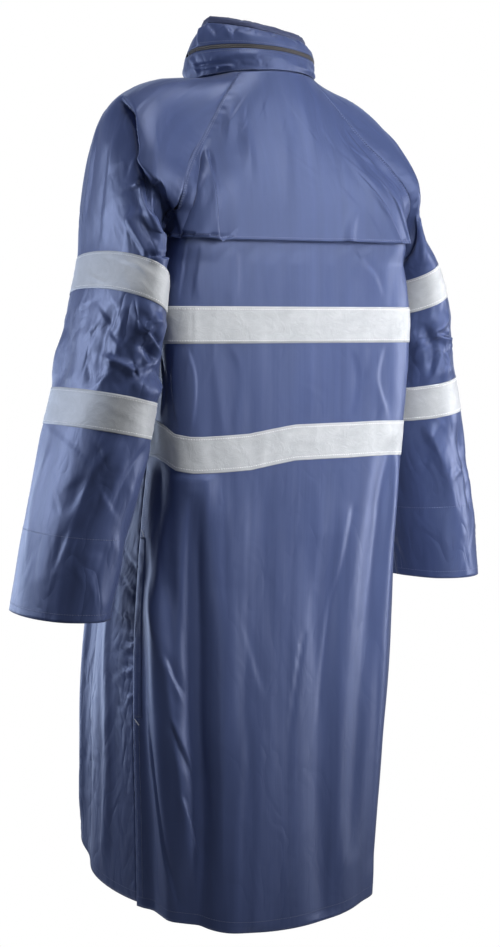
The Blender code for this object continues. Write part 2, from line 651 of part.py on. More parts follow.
# Raglan sleeves and their tapes
splits = [row + sign * SPLIT_SHARE for row in ROWS_SLEEVE_SPLIT for sign in (-1, 1)]
sleeve_rows = np.sort(np.concatenate([rows_between(0.0, ROW_UNDERARM), rows_below(ROW_CUFF), splits]))
crest = SLEEVE_COLUMNS // 2
for side, halves in (("left", ("front", "back")), ("right", ("back", "front"))):
    sleeve = sleeve_grid(side, sleeve_rows, SLEEVE_COLUMNS)
    ends = (0.0, *ROWS_SLEEVE_SPLIT, ROW_CUFF)
    for piece, start, end in zip(("upper", "middle", "lower"), ends, ends[1:]):
        tube = sleeve[(sleeve_rows > start - 1e-6) & (sleeve_rows < end + 1e-6)]
        first_half = drawn_in(tube[:, : crest + 1], -1, -2, SPLIT_INSET)
        second_half = drawn_in(tube[:, crest:], 0, 1, SPLIT_INSET)
        add_wall(f"sleeve_{piece}_{halves[0]}_{side}", first_half, navy)
        add_wall(f"sleeve_{piece}_{halves[1]}_{side}", second_half, navy)
    for tape, rows in (("upper", ROWS_SLEEVE_UPPER_TAPE), ("lower", ROWS_SLEEVE_LOWER_TAPE)):
        add_wall(f"sleeve_tape_{tape}_{side}", part_of(sleeve, sleeve_rows, rows), silver, TAPE_WALL)

# Stand collar, round from the right of the centre front to the left of it
around = np.linspace(180 - COLLAR_OPEN_DEG, -180 + COLLAR_OPEN_DEG, COLLAR_COLUMNS)
add_wall("collar_upper", collar_grid([COLLAR_TOP, COLLAR_HIGH, COLLAR_ZIP], around, 1), navy)
add_wall("collar_lower", collar_grid([COLLAR_ZIP, COLLAR_LOW, COLLAR_SEAM], around, -1), navy)
add_wall("collar_inner", collar_grid(COLLAR_ROLL[::-1], around)[:, ::-1], navy_dark)

zip_around = np.linspace(ZIP_END_DEG - ZIP_INSET_DEG, ZIP_INSET_DEG - ZIP_END_DEG, ZIP_COLUMNS)
zip_line = collar_ring(COLLAR_ZIP, zip_around)
zip_half = np.array([0.0, 0.0, ZIP_HALF_WIDTH - ZIP_CLEAR])
add_wall("collar_zip", np.stack([zip_line + zip_half, zip_line - zip_half]), zip_brown)

# Storm flap over the front closing, and its press studs
flap_rows = front_rows[(front_rows > FLAP_ROWS[0]) & (front_rows < FLAP_ROWS[1])]
halves = [
    body_half(FRONT, side, -1, flap_rows, flap_share(flap_rows, FLAP_HALF_WIDTH) * evenly(flap_rows, 2))
    for side in ("right", "left")
]
flap = np.concatenate([(halves[0] * (-1, 1, 1))[:, :0:-1], halves[1]], axis=1)
flap = moved_out(flap, normals_of(flap), WALL)
add_wall("storm_flap", flap, navy)
for tape, rows in (("upper", ROWS_UPPER_TAPE), ("lower", ROWS_LOWER_TAPE)):
    add_wall(f"tape_{tape}_flap", part_of(flap, flap_rows, rows), silver, TAPE_WALL)
for number, row in enumerate(STUD_ROWS, start=1):
    add_stud(f"press_stud_{number}", flap, flap_rows, row)

# Welts behind the pocket mouths in the side seams
in_pocket = (body_rows > ROWS_POCKET[0] - 1e-6) & (body_rows < ROWS_POCKET[1] + 1e-6)
skin = moved_out(back, normals_of(back), WALL)[in_pocket]
for side, edge, inner in (("left", 0, 1), ("right", -1, -2)):
    shares = [1 - WELT_INSET[1], 1 - WELT_INSET[0]]
    welt = [skin[:, edge] * (1 - share) + skin[:, inner] * share for share in shares]
    welt = np.stack(welt if side == "left" else welt[::-1], axis=1)
    add_wall(f"pocket_welt_{side}", welt, navy)

add_zip_pull()
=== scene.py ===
# %% [markdown]
# # A long raincoat with its hood stowed in the collar
#
# The coat is coated nylon: a thin, slippery cloth that holds every crease it gets. It is filled out as if
# someone wore it. The measured model of the coat comes first and stays fixed. Each plain wall of it is
# then dressed with a thin shell of creased cloth, and the sewing, the zip and the tapes go on top.

import math

import bpy
import numpy as np
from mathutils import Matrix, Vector


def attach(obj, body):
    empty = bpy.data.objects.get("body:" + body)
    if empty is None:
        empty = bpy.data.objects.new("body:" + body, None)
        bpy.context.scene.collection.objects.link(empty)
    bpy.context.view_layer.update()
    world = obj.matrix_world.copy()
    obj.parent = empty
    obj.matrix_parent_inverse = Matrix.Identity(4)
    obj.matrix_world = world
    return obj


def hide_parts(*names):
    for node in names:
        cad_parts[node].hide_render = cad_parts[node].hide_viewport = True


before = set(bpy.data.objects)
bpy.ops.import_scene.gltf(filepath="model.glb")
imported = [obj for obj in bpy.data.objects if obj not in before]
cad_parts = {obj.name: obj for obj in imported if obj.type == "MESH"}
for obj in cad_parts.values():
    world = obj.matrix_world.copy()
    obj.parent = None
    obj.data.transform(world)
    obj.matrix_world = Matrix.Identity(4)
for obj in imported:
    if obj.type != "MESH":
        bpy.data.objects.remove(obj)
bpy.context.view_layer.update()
bpy.ops.object.select_all(action="DESELECT")

# %% [markdown]
# ## Camera
#
# The camera stands behind the coat's left shoulder, a little over waist height, and looks slightly down.
# Its place is worked out from a turn round the coat, a distance and a height, so that each can be tried
# alone.

# %% Camera
VIEW_TURN_DEG = 150
VIEW_DISTANCE = 2.7
VIEW_HEIGHT = -0.35
VIEW_PITCH_DEG = -4.6
FILM_HEIGHT_MM = 36.0
LENS_MM = 71.25


def place_round(turn_deg, distance, height):
    """A point round the coat: a turn of 0 is in front of it, 90 on its left and 180 behind it."""
    turn = math.radians(turn_deg)
    return distance * math.sin(turn), -distance * math.cos(turn), height


lens = bpy.data.cameras.new("camera")
lens.sensor_fit = "VERTICAL"
lens.sensor_height = FILM_HEIGHT_MM
lens.lens = LENS_MM
camera = bpy.data.objects.new("camera", lens)
camera.location = place_round(VIEW_TURN_DEG, VIEW_DISTANCE, VIEW_HEIGHT)
camera.rotation_euler = (math.radians(90 + VIEW_PITCH_DEG), 0.0, math.radians(VIEW_TURN_DEG))
bpy.context.scene.collection.objects.link(camera)
bpy.context.scene.camera = camera
print("camera at", tuple(round(v, 3) for v in camera.location))

# %% [markdown]
# ## Light
#
# Satin nylon shows its form by what it reflects. A flat of cloth mirrors a light that stands as far to
# one side of it as the camera stands to the other, so each light has its own stretch of the coat: the key
# light the back, the left and arm lights the two sleeves, the side light the right edge, the low and far
# ones the front. The narrower its spread, the less of one light falls on the rest. A sun or a point lamp
# would leave hard glints on the folds, so all of them are wide areas.

# %% Lights
WHITE = (1.0, 1.0, 1.0)
PALE_BLUE = (0.72, 0.81, 1.0)
BLUE = (0.62, 0.74, 1.0)
MIDDLE = (0.0, 0.0, -0.45)
# turn round the coat in degrees, distance, height, size, power in watts, colour, aim, spread in degrees
LIGHTS = {
    "key_light": (198, 1.5, 0.25, (0.7, 0.8), 2.1, WHITE, (0.02, 0.10, -0.34), 55),
    "left_light": (56, 1.7, -0.10, (0.6, 0.9), 3.0, PALE_BLUE, (0.30, 0.00, -0.30), 60),
    "low_light": (21, 2.4, -0.90, (1.5, 1.2), 24.0, BLUE, (0.10, -0.10, -1.00), 180),
    "top_light": (170, 0.8, 2.40, (1.2, 1.2), 52.0, WHITE, MIDDLE, 180),
    "far_light": (-30, 3.2, 0.60, (4.2, 3.0), 34.0, BLUE, MIDDLE, 180),
    "side_light": (242, 2.2, -0.50, (0.8, 1.4), 4.8, WHITE, (-0.34, 0.05, -0.44), 48),
    "arm_light": (164, 3.2, -0.50, (0.5, 0.8), 1.6, WHITE, (-0.40, 0.05, -0.54), 16),
    "collar_light": (192, 2.0, -0.30, (0.4, 0.2), 0.13, WHITE, (-0.02, 0.05, 0.04), 13),
}

for name, (turn_deg, distance, height, size, power, color, aim, spread_deg) in LIGHTS.items():
    lamp = bpy.data.lights.new(name, "AREA")
    lamp.shape = "RECTANGLE"
    lamp.size, lamp.size_y = size
    lamp.energy = power
    lamp.color = color
    lamp.spread = math.radians(spread_deg)
    holder = bpy.data.objects.new(name, lamp)
    holder.location = place_round(turn_deg, distance, height)
    holder.rotation_euler = (Vector(aim) - holder.location).to_track_quat("-Z", "Y").to_euler()
    bpy.context.scene.collection.objects.link(holder)
print("lights:", ", ".join(LIGHTS))

# %% [markdown]
# ## Room and floor
#
# The camera sees a white room, but the coat is lit by a faint bluish one. A white wall behind the coat
# could be built, but it would also light it from behind, so a Light Path node tells the camera's rays
# from all others and gives them their own background. A pale floor well below the hem sends some light up
# under it.

# %% Room
ROOM_COLOR = (0.92, 0.95, 1.0)
ROOM_STRENGTH = 0.12

world = bpy.data.worlds.new("pale_room")
world.use_nodes = True
room = world.node_tree
sky = room.nodes["Background"]
backdrop = room.nodes.new("ShaderNodeBackground")
for background, color, strength in ((sky, ROOM_COLOR, ROOM_STRENGTH), (backdrop, WHITE, 1.0)):
    background.inputs["Color"].default_value = (*color, 1.0)
    background.inputs["Strength"].default_value = strength
rays = room.nodes.new("ShaderNodeLightPath")
seen = room.nodes.new("ShaderNodeMixShader")
room.links.new(rays.outputs["Is Camera Ray"], seen.inputs["Fac"])
room.links.new(sky.outputs["Background"], seen.inputs[1])
room.links.new(backdrop.outputs["Background"], seen.inputs[2])
room.links.new(seen.outputs["Shader"], room.nodes["World Output"].inputs["Surface"])
bpy.context.scene.world = world
bpy.context.scene.view_settings.view_transform = "Standard"
print("room:", world.name)

# %% Floor
FLOOR_TOP = -1.62
FLOOR_THICKNESS = 0.02

bpy.ops.mesh.primitive_cylinder_add(
    vertices=96, radius=1.0, depth=FLOOR_THICKNESS, location=(0.0, 0.0, FLOOR_TOP - FLOOR_THICKNESS / 2)
)
floor = bpy.context.object
floor.name = "floor"
pale = bpy.data.materials.new("pale_floor")
pale.use_nodes = True
pale.node_tree.nodes["Principled BSDF"].inputs["Base Color"].default_value = (0.82, 0.82, 0.82, 1.0)
pale.node_tree.nodes["Principled BSDF"].inputs["Roughness"].default_value = 0.8
floor.data.materials.append(pale)
bpy.ops.object.select_all(action="DESELECT")
print("floor top at", FLOOR_TOP)

# %% [markdown]
# ## Materials
#
# A finish is a small graph of nodes, which could be wired up by hand in the Shader Editor. Writing it as
# sums keeps it short and easy to change: a Signal wraps one output socket, and Python's operators add
# Math nodes.

# %% Signals, for writing node graphs as sums
class Signal:
    """One output of a material's node graph; operators on it add Math nodes."""

    def __init__(self, graph, socket):
        self.graph = graph
        self.socket = socket

    def math(self, operation, first, second):
        return self.graph.node("ShaderNodeMath", {"operation": operation}, {0: first, 1: second})

    def __add__(self, other):
        return self.math("ADD", self, other)

    def __sub__(self, other):
        return self.math("SUBTRACT", self, other)

    def __mul__(self, other):
        return self.math("MULTIPLY", self, other)

    def __radd__(self, other):
        return self.math("ADD", other, self)

    def __rsub__(self, other):
        return self.math("SUBTRACT", other, self)

    def __rmul__(self, other):
        return self.math("MULTIPLY", other, self)


print("signals add, subtract and multiply")

# %% [markdown]
# Each finish of the coat is one material round a Principled BSDF. What is the same all over is set on the
# shader's own sockets, and one method adds any other node, so that a recipe for cloth takes only a few
# lines. Noise could be placed in the object's space, but cloth has a grain, so there it follows the
# piece's UV map.

# %% A finish, one material
class Finish:
    """A material made of a Principled BSDF whose constants are set on the sockets themselves."""

    def __init__(self, name, **constants):
        self.material = bpy.data.materials.new(name)
        self.material.use_nodes = True
        self.nodes = self.material.node_tree.nodes
        self.links = self.material.node_tree.links
        self.shader = self.nodes["Principled BSDF"]
        for label, value in constants.items():
            self.shader.inputs[label.replace("_", " ")].default_value = value

    def node(self, kind, settings, inputs, output=0):
        """A new node with its settings and inputs; an input is a number, a tuple or a Signal."""
        made = self.nodes.new(kind)
        for label, value in settings.items():
            if label == "stops":
                ramp = made.color_ramp.elements
                while len(ramp) < len(value):
                    ramp.new(0.5)
                for element, (position, color) in zip(ramp, value):
                    element.position = position
                    element.color = (*color, 1.0)
            else:
                setattr(made, label, value)
        for label, value in inputs.items():
            if isinstance(value, Signal):
                self.links.new(value.socket, made.inputs[label])
            else:
                made.inputs[label].default_value = value
        return Signal(self, made.outputs[output])

    def noise(self, place, scale, detail=2.0, roughness=0.5, distortion=0.0):
        inputs = {"Vector": place, "Scale": scale, "Detail": detail, "Roughness": roughness}
        return self.node("ShaderNodeTexNoise", {}, {**inputs, "Distortion": distortion}, "Fac")

    def cloth_noise(self, across, down, *kind):
        """Noise on the piece's own UV map, which is in metres, with so many waves a metre each way."""
        grain = self.node("ShaderNodeUVMap", {"uv_map": "grain"}, {})
        stretched = self.node("ShaderNodeMapping", {}, {"Vector": grain, "Scale": (across, down, 1.0)})
        return self.noise(stretched, 1.0, *kind)

    def ramp(self, value, stops):
        return self.node("ShaderNodeValToRGB", {"stops": stops}, {"Fac": value}, "Color")

    def bump(self, height, strength, distance, normal=None):
        inputs = {"Height": height, "Strength": strength, "Distance": distance}
        if normal is not None:
            inputs["Normal"] = normal
        return self.node("ShaderNodeBump", {}, inputs, "Normal")

    def feed(self, label, signal):
        self.links.new(signal.socket, self.shader.inputs[label])


print("a finish can", ", ".join(name for name in vars(Finish) if name[0] != "_"))

# %% [markdown]
# The nylon is woven from shiny yarn and coated, so it has a satin gloss with faint streaks down the
# grain. Its smallest crumples could be modelled too, but a bump gives the same glints for far fewer
# points. They come from noise that is stretched along the grain, and an attribute of the mesh, crush,
# says where they are deep.

# %% Coated nylon
NYLON_TINT = (0.54, 0.64, 1.0, 1.0)


def nylon(name, base, deep, roughness):
    finish = Finish(
        name,
        Roughness=roughness,
        Specular_IOR_Level=0.55,
        Specular_Tint=NYLON_TINT,
        Sheen_Weight=0.05,
        Sheen_Roughness=0.4,
    )
    streaks = finish.cloth_noise(70.0, 2.5, 3.0)
    clouds = finish.cloth_noise(9.0, 4.0, 3.0, 0.6, 0.4)
    crumple = finish.cloth_noise(30.0, 16.0, 1.5, 0.5, 0.6)
    yarn = finish.cloth_noise(1400.0, 1400.0, 1.0)
    tone = 0.55 * clouds + 0.45 * streaks
    finish.feed("Base Color", finish.ramp(tone, ((0.32, deep), (0.68, base))))
    finish.feed("Roughness", roughness - 0.07 + 0.10 * streaks + 0.05 * clouds)
    crush = finish.node("ShaderNodeAttribute", {"attribute_name": "crush"}, {}, "Fac")
    folded = finish.node("ShaderNodeMath", {"operation": "ABSOLUTE"}, {0: crumple - 0.5})
    crushed = finish.bump(folded * crush, 0.8, 0.012)
    streaked = finish.bump(streaks, 0.30, 0.0012, crushed)
    finish.feed("Normal", finish.bump(yarn, 0.25, 0.0001, streaked))
    return finish.material


navy = nylon("navy_coated_nylon", (0.050, 0.070, 0.166), (0.035, 0.050, 0.122), 0.43)
navy_inside = nylon("navy_nylon_inside", (0.040, 0.046, 0.095), (0.030, 0.036, 0.075), 0.55)
print("nylon:", navy.name, navy_inside.name)

# %% [markdown]
# Reflective tape is a grey woven ribbon covered with tiny glass beads. The beads could be given a
# mirror's gloss, but they only send light back to where it came from. From anywhere else the tape looks
# flat and pale, with a faint net of the weave and soft crinkles across it, so a rough grey with two bumps
# is closer.

# %% Reflective tape
def reflective(name):
    finish = Finish(name, Roughness=0.48, Specular_IOR_Level=0.4, Sheen_Weight=0.1)
    beads = finish.cloth_noise(900.0, 900.0, 2.0, 0.6)
    crinkle = finish.cloth_noise(55.0, 70.0, 4.0, 0.6, 1.2)
    patches = finish.cloth_noise(22.0, 30.0, 2.0)
    tone = 0.35 * beads + 0.30 * crinkle + 0.35 * patches
    finish.feed("Base Color", finish.ramp(tone, ((0.30, (0.30, 0.315, 0.34)), (0.70, (0.46, 0.475, 0.50)))))
    crinkled = finish.bump(crinkle, 0.30, 0.0022)
    finish.feed("Normal", finish.bump(beads, 0.35, 0.0002, crinkled))
    return finish.material


tape_grey = reflective("reflective_tape")
print("tape:", tape_grey.name)

# %% [markdown]
# Thread, zip and metal are too small for patterns of their own. Each is one plain colour, and fine noise
# keeps it from looking like plastic. The scale of the noise is the number of grains a metre.

# %% Thread, zip and metal
def plain(name, color, roughness, grain_scale, **constants):
    finish = Finish(name, Roughness=roughness, **constants)
    place = finish.node("ShaderNodeTexCoord", {}, {}, "Object")
    fine = finish.noise(place, grain_scale, 3.0, 0.6)
    dark = tuple(0.72 * part for part in color)
    finish.feed("Base Color", finish.ramp(fine, ((0.3, dark), (0.7, color))))
    finish.feed("Roughness", roughness - 0.06 + 0.12 * fine)
    finish.feed("Normal", finish.bump(fine, 0.3, 0.0002))
    return finish.material


thread_pale = plain("pale_thread", (0.90, 0.90, 0.90), 0.6, 900.0)
thread_navy = plain("navy_thread", (0.120, 0.145, 0.260), 0.5, 900.0)
zip_ribbon = plain("zip_ribbon", (0.030, 0.030, 0.038), 0.7, 1200.0)
zip_nylon = plain("zip_coil_nylon", (0.075, 0.068, 0.068), 0.42, 700.0)
dark_metal = plain("dark_metal", (0.20, 0.20, 0.22), 0.34, 500.0, Metallic=1.0)
print("materials:", len(bpy.data.materials))

# %% [markdown]
# ## The cut of the coat
#
# The coat could be sewn up from flat panels in a cloth simulator, but it would come out a little
# different after every change. So every panel is drawn through rows from the neck down. A row is one
# smooth curve from a centre line to a seam, and two panels that are sewn together share the same seam
# points. The rows follow those of the measured model, so the cloth lies over its wall. All sizes are in
# metres and all turns in degrees.

# %% Row numbers, from the neck seam down
WALL = 0.0012
ROW_FLAP_TOP = 4.5
ROW_YOKE_LOOSE = 3.0
ROW_YOKE_EDGE = 5.0
ROW_UNDERARM = 6.0
ROWS_UPPER_TAPE = (7.0, 8.0)
ROWS_LOWER_TAPE = (10.0, 11.0)
TAPE_EDGES = (*ROWS_UPPER_TAPE, *ROWS_LOWER_TAPE)
ROWS_POCKET = (12.0, 14.0)
ROW_HEM = 16.0
ROW_ARM = 7.0
ROW_CUFF = 14.0
print("the body ends at row", ROW_HEM, "and the sleeve at row", ROW_CUFF)

# %% Rows of the back
# centre_y, centre_z, centre_reach: the centre back line and how far each row leaves it straight
# seam_x, seam_y, seam_z, seam_reach, seam_turn: the raglan seam, then the side seam, and the angle there
BACK = [
    (0.0895, -0.0040, 0.021, 0.0575, 0.0686, -0.0061, 0.021, 40),
    (0.102, -0.047, 0.045, 0.092, 0.083, -0.047, 0.030, 25),
    (0.112, -0.092, 0.075, 0.127, 0.091, -0.092, 0.040, 18),
    (0.119, -0.135, 0.110, 0.162, 0.100, -0.132, 0.050, 22),
    (0.123, -0.184, 0.165, 0.187, 0.100, -0.179, 0.060, 50),
    (0.125, -0.237, 0.205, 0.190, 0.064, -0.236, 0.090, 84),
    (0.126, -0.268, 0.205, 0.182, 0.025, -0.268, 0.118, 98),
    (0.127, -0.328, 0.215, 0.178, 0.025, -0.328, 0.128, 104),
    (0.127, -0.378, 0.215, 0.178, 0.025, -0.378, 0.128, 104),
    (0.126, -0.440, 0.208, 0.180, 0.025, -0.440, 0.124, 102),
    (0.124, -0.501, 0.198, 0.183, 0.025, -0.501, 0.118, 99),
    (0.122, -0.551, 0.188, 0.187, 0.025, -0.551, 0.112, 96),
    (0.120, -0.650, 0.160, 0.198, 0.028, -0.650, 0.100, 90),
    (0.119, -0.780, 0.140, 0.205, 0.028, -0.780, 0.095, 84),
    (0.120, -0.905, 0.132, 0.204, 0.024, -0.900, 0.095, 82),
    (0.123, -1.060, 0.124, 0.195, 0.014, -1.045, 0.100, 80),
    (0.127, -1.203, 0.120, 0.188, 0.006, -1.174, 0.100, 80),
]
print("rows of the back:", len(BACK))

# %% Rows of the fronts, in the same columns
FRONT = [
    (-0.0895, -0.0220, 0.024, 0.0644, -0.0622, -0.0193, 0.024, 46),
    (-0.101, -0.057, 0.045, 0.088, -0.080, -0.047, 0.030, 28),
    (-0.116, -0.095, 0.065, 0.115, -0.094, -0.090, 0.040, 25),
    (-0.130, -0.140, 0.090, 0.142, -0.097, -0.140, 0.050, 35),
    (-0.141, -0.187, 0.110, 0.165, -0.084, -0.185, 0.060, 52),
    (-0.149, -0.235, 0.130, 0.178, -0.042, -0.235, 0.085, 75),
    (-0.153, -0.268, 0.140, 0.182, 0.025, -0.268, 0.115, 90),
    (-0.158, -0.328, 0.145, 0.178, 0.025, -0.328, 0.125, 88),
    (-0.161, -0.378, 0.145, 0.178, 0.025, -0.378, 0.130, 88),
    (-0.166, -0.440, 0.150, 0.180, 0.025, -0.440, 0.140, 88),
    (-0.172, -0.501, 0.155, 0.183, 0.025, -0.501, 0.150, 89),
    (-0.179, -0.551, 0.160, 0.187, 0.025, -0.551, 0.160, 90),
    (-0.196, -0.640, 0.175, 0.198, 0.028, -0.650, 0.180, 93),
    (-0.213, -0.757, 0.185, 0.205, 0.028, -0.780, 0.200, 96),
    (-0.223, -0.858, 0.190, 0.204, 0.024, -0.900, 0.210, 98),
    (-0.231, -0.975, 0.190, 0.195, 0.014, -1.045, 0.212, 99),
    (-0.236, -1.068, 0.190, 0.188, 0.006, -1.168, 0.212, 100),
]
# half the distance, along X, between the edges of the body and of the sleeve on the seam they share
SEAM_APART = [0.0, 0.0, 0.0, 0.0, 0.0002, 0.0004, 0.0010]
print("rows of each front:", len(FRONT))

# %% Rows of the sleeves
# crest_x, crest_y, crest_z, back_reach, front_reach: the top line over the shoulder and outside of the arm
CREST = [
    (0.0895, 0.000, -0.0130, 0.026, 0.023),
    (0.148, 0.002, -0.020, 0.052, 0.048),
    (0.196, 0.000, -0.040, 0.072, 0.064),
    (0.225, 0.004, -0.070, 0.085, 0.078),
    (0.240, 0.010, -0.112, 0.100, 0.094),
    (0.249, 0.018, -0.160, 0.125, 0.118),
    (0.255, 0.026, -0.208, 0.152, 0.145),
]
# back_turn, back_reach, front_turn, front_reach, arch: how the sleeve's rows leave the raglan seams
SLEEVE_SEAM = [
    (-40, 0.026, -46, 0.023, 0.3),
    (-28, 0.034, -30, 0.034, 0.5),
    (-10, 0.038, -12, 0.038, 0.5),
    (18, 0.040, 15, 0.040, 0.45),
    (55, 0.052, 50, 0.052, 0.35),
    (76, 0.088, 72, 0.088, 0.2),
    (86, 0.140, 86, 0.140, 0.0),
]
# centre_x, centre_y, half_x, half_y, outer_z, inner_z: the rings of the sleeve below the underarm
ARM = [
    (0.2205, 0.033, 0.0345, 0.120, -0.254, -0.298),
    (0.2320, 0.042, 0.0410, 0.118, -0.304, -0.346),
    (0.2400, 0.036, 0.0480, 0.116, -0.370, -0.405),
    (0.2480, 0.030, 0.0535, 0.115, -0.437, -0.461),
    (0.2570, 0.026, 0.0580, 0.112, -0.487, -0.509),
    (0.2720, 0.022, 0.0600, 0.105, -0.555, -0.570),
    (0.2885, 0.018, 0.0600, 0.100, -0.630, -0.640),
    (0.3077, 0.011, 0.0580, 0.098, -0.738, -0.742),
]
print("rows of each sleeve:", len(CREST) + len(ARM))

# %% [markdown]
# The coat hangs as it is worn and not as it was cut. Bones could pose it, but the pose is slight, so
# these tables move its rows a little: how far each row is lifted, moved out to the side or moved forward.

# %% Worn pose
# the left shoulder stands higher, the right cuff is lifted
SHOULDER_LIFT = {"left": 0.008, "right": -0.006}
SHOULDER_OUT = {
    "left": (0.000, -0.003, -0.004, -0.004, -0.004, -0.004, -0.003),
    "right": (0.000, -0.016, -0.024, -0.038, -0.045, -0.037, -0.021),
}
SHOULDER_FORWARD = {
    "left": (0.0,) * 7,
    "right": (0.000, 0.000, 0.005, 0.014, 0.022, 0.025, 0.024),
}
ARM_LIFT = {
    "left": (0.000, 0.000, 0.000, 0.000, 0.000, -0.003, -0.005, -0.006),
    "right": (0.002, 0.004, 0.010, 0.014, 0.014, 0.013, 0.012, 0.012),
}
ARM_OUT = {
    "left": (0.0,) * 8,
    "right": (0.008, 0.008, 0.007, 0.006, 0.006, 0.006, 0.006, 0.006),
}
ARM_FORWARD = {
    "left": (0.0,) * 8,
    "right": (0.024, 0.028, 0.024, 0.018, 0.014, 0.010, 0.010, 0.010),
}
# the body hangs a little to the wearer's right, by this much at these rows
SWAY_ROWS = (1.0, 4.0, 6.0, 11.0, 13.0, 16.0)
SWAY = (0.000, 0.010, 0.006, 0.008, 0.002, -0.002)
# the lower tape rises on the right of the back, and waves in its plane where the cloth is pulled up at the
# left side seam; the rows near it follow by these shares
TAPE_PULL_ROWS = (8.5, 10.0, 11.0, 12.5)
TAPE_PULL = (0.0, 1.0, 1.0, 0.0)
TAPE_TILT = 0.013
WAVE_PLACES = (-0.90, -0.61, -0.17, 0.01, 0.16, 0.48, 0.64, 0.76, 0.88, 1.00, 1.50)
WAVE = (0.000, -0.002, 0.000, 0.003, -0.004, -0.002, 0.002, 0.011, 0.017, 0.018, 0.000)
print("the lower tape rises by", TAPE_TILT, "m on the right and by up to", max(WAVE), "m on the left")

# %% [markdown]
# The broad folds are soft troughs and ridges that run down the cloth. They could be pulled out with a
# sculpt brush, but as a row of six numbers each can be moved or deepened alone. A place round the body is
# 0 at the centre back, 1 at the left side seam and 2 at the centre front, and negative on the right. A
# place round a sleeve is -1 at the front seam, 0 on the crest and 1 at the back seam.

# %% Broad folds
# place_top, place_bottom, row_top, row_bottom, width, depth
BODY_FOLDS = [
    (0.50, 0.54, 11.3, 17.5, 0.070, -0.008),
    (0.78, 0.70, 11.6, 17.5, 0.070, 0.007),
    (0.92, 0.88, 12.0, 17.5, 0.055, -0.004),
    (0.30, 0.36, 12.5, 17.5, 0.090, 0.005),
    (-0.52, -0.60, 11.0, 17.5, 0.080, 0.007),
    (-0.80, -0.80, 10.8, 17.5, 0.120, 0.004),
    (-0.42, -0.33, 10.5, 15.5, 0.075, -0.006),
    (-0.10, -0.17, 12.0, 16.2, 0.080, -0.006),
    (1.30, 1.36, 11.5, 17.5, 0.080, -0.010),
    (1.58, 1.62, 10.5, 17.5, 0.090, 0.008),
    (-1.25, -1.33, 11.0, 17.5, 0.080, -0.011),
    (-1.55, -1.60, 10.0, 17.5, 0.085, 0.008),
]
YOKE_FOLDS = [
    (1.00, 0.58, 2.0, 5.8, 0.060, -0.004),
    (0.80, 0.80, 3.4, 5.8, 0.090, 0.003),
    (-0.88, -0.72, 2.4, 5.8, 0.070, -0.002),
]
SLEEVE_FOLDS = [
    (0.70, 0.84, 4.4, 6.4, 0.080, -0.010),
    (0.38, 0.58, 4.4, 6.8, 0.070, 0.004),
    (0.62, 0.40, 8.6, 9.7, 0.100, -0.008),
    (0.30, 0.62, 8.9, 10.2, 0.090, 0.004),
    (-0.50, -0.64, 3.2, 6.5, 0.090, -0.008),
    (-0.60, -0.40, 8.4, 9.8, 0.120, -0.008),
    (0.50, 0.20, 11.2, 12.6, 0.100, -0.005),
]
FOLD_FADE = 0.9
SEAM_HOLD = 0.05
print("broad folds:", len(BODY_FOLDS) + len(YOKE_FOLDS) + len(SLEEVE_FOLDS))

# %% [markdown]
# ### From rows to points
#
# Curve objects that are bridged to each other could make the surface, but the seams, tapes and creases
# all need points at places between the rows. So the curves are worked out here: a cubic Bezier curve
# along each row, with the reach as the length of its handles, and a smooth curve from row to row down the
# coat.

# %% Curves through the rows
def ease(t):
    """A smooth step from 0 to 1."""
    return t * t * (3 - 2 * t)


def hermite(values, leaving, arriving, low, t):
    """Points on smooth curves between row low and the next one, a share t of the way down."""
    start = (1 + 2 * t) * (1 - t) ** 2 * values[low] + t * (1 - t) ** 2 * leaving[low]
    return start + ease(t) * values[low + 1] - t * t * (1 - t) * arriving[low + 1]


def smooth_rows(table, at, seam_columns):
    """Values between the rows of a table, on smooth curves through them; at holds row numbers.

    The seam's columns turn a corner at the underarm, where the raglan seam meets the side seam.
    """
    rows = np.array(table, float)
    arriving = np.gradient(rows, axis=0)
    leaving = arriving.copy()
    corner = int(ROW_UNDERARM)
    arriving[corner, seam_columns] = (rows[corner] - rows[corner - 1])[seam_columns]
    leaving[corner, seam_columns] = (rows[corner + 1] - rows[corner])[seam_columns]
    low = np.clip(np.floor(at).astype(int), 0, len(rows) - 2)
    return hermite(rows, leaving, arriving, low, (np.asarray(at, float) - low)[:, None])


def smooth_between(values, t):
    """Values on a smooth curve through a few evenly spaced ones; t runs from 0 to 1."""
    values = np.asarray(values, float)
    slopes = np.gradient(values)
    spot = np.clip(np.asarray(t) * (len(values) - 1), 0, len(values) - 1)
    low = np.clip(np.floor(spot).astype(int), 0, len(values) - 2)
    return hermite(values, slopes, slopes, low, spot - low)


def points_of(*columns):
    """Columns of x, y and z as an array of points."""
    return np.stack(np.broadcast_arrays(*columns), axis=-1)


def bezier(ends, s):
    """Points along each row's cubic curve; ends is rows x 4 x 3 and s is rows x columns."""
    weights = np.stack([(1 - s) ** 3, 3 * s * (1 - s) ** 2, 3 * s**2 * (1 - s), s**3])
    return np.einsum("rkc,krn->rnc", ends, weights)


def sway(side, at):
    """How far each row of a half that is built at +X moves out as the body hangs to the right."""
    return np.interp(at, SWAY_ROWS, SWAY) * (1 if side == "right" else -1)


print("a quarter of the way along, a smooth step is at", ease(0.25))

# %% [markdown]
# The body and both sleeves are built as halves at +X, from a middle line to a seam. A Mirror modifier
# could make the right side from the left one, but the two sides hang differently, so each side is built
# with its own pose and the right one is turned over afterwards.

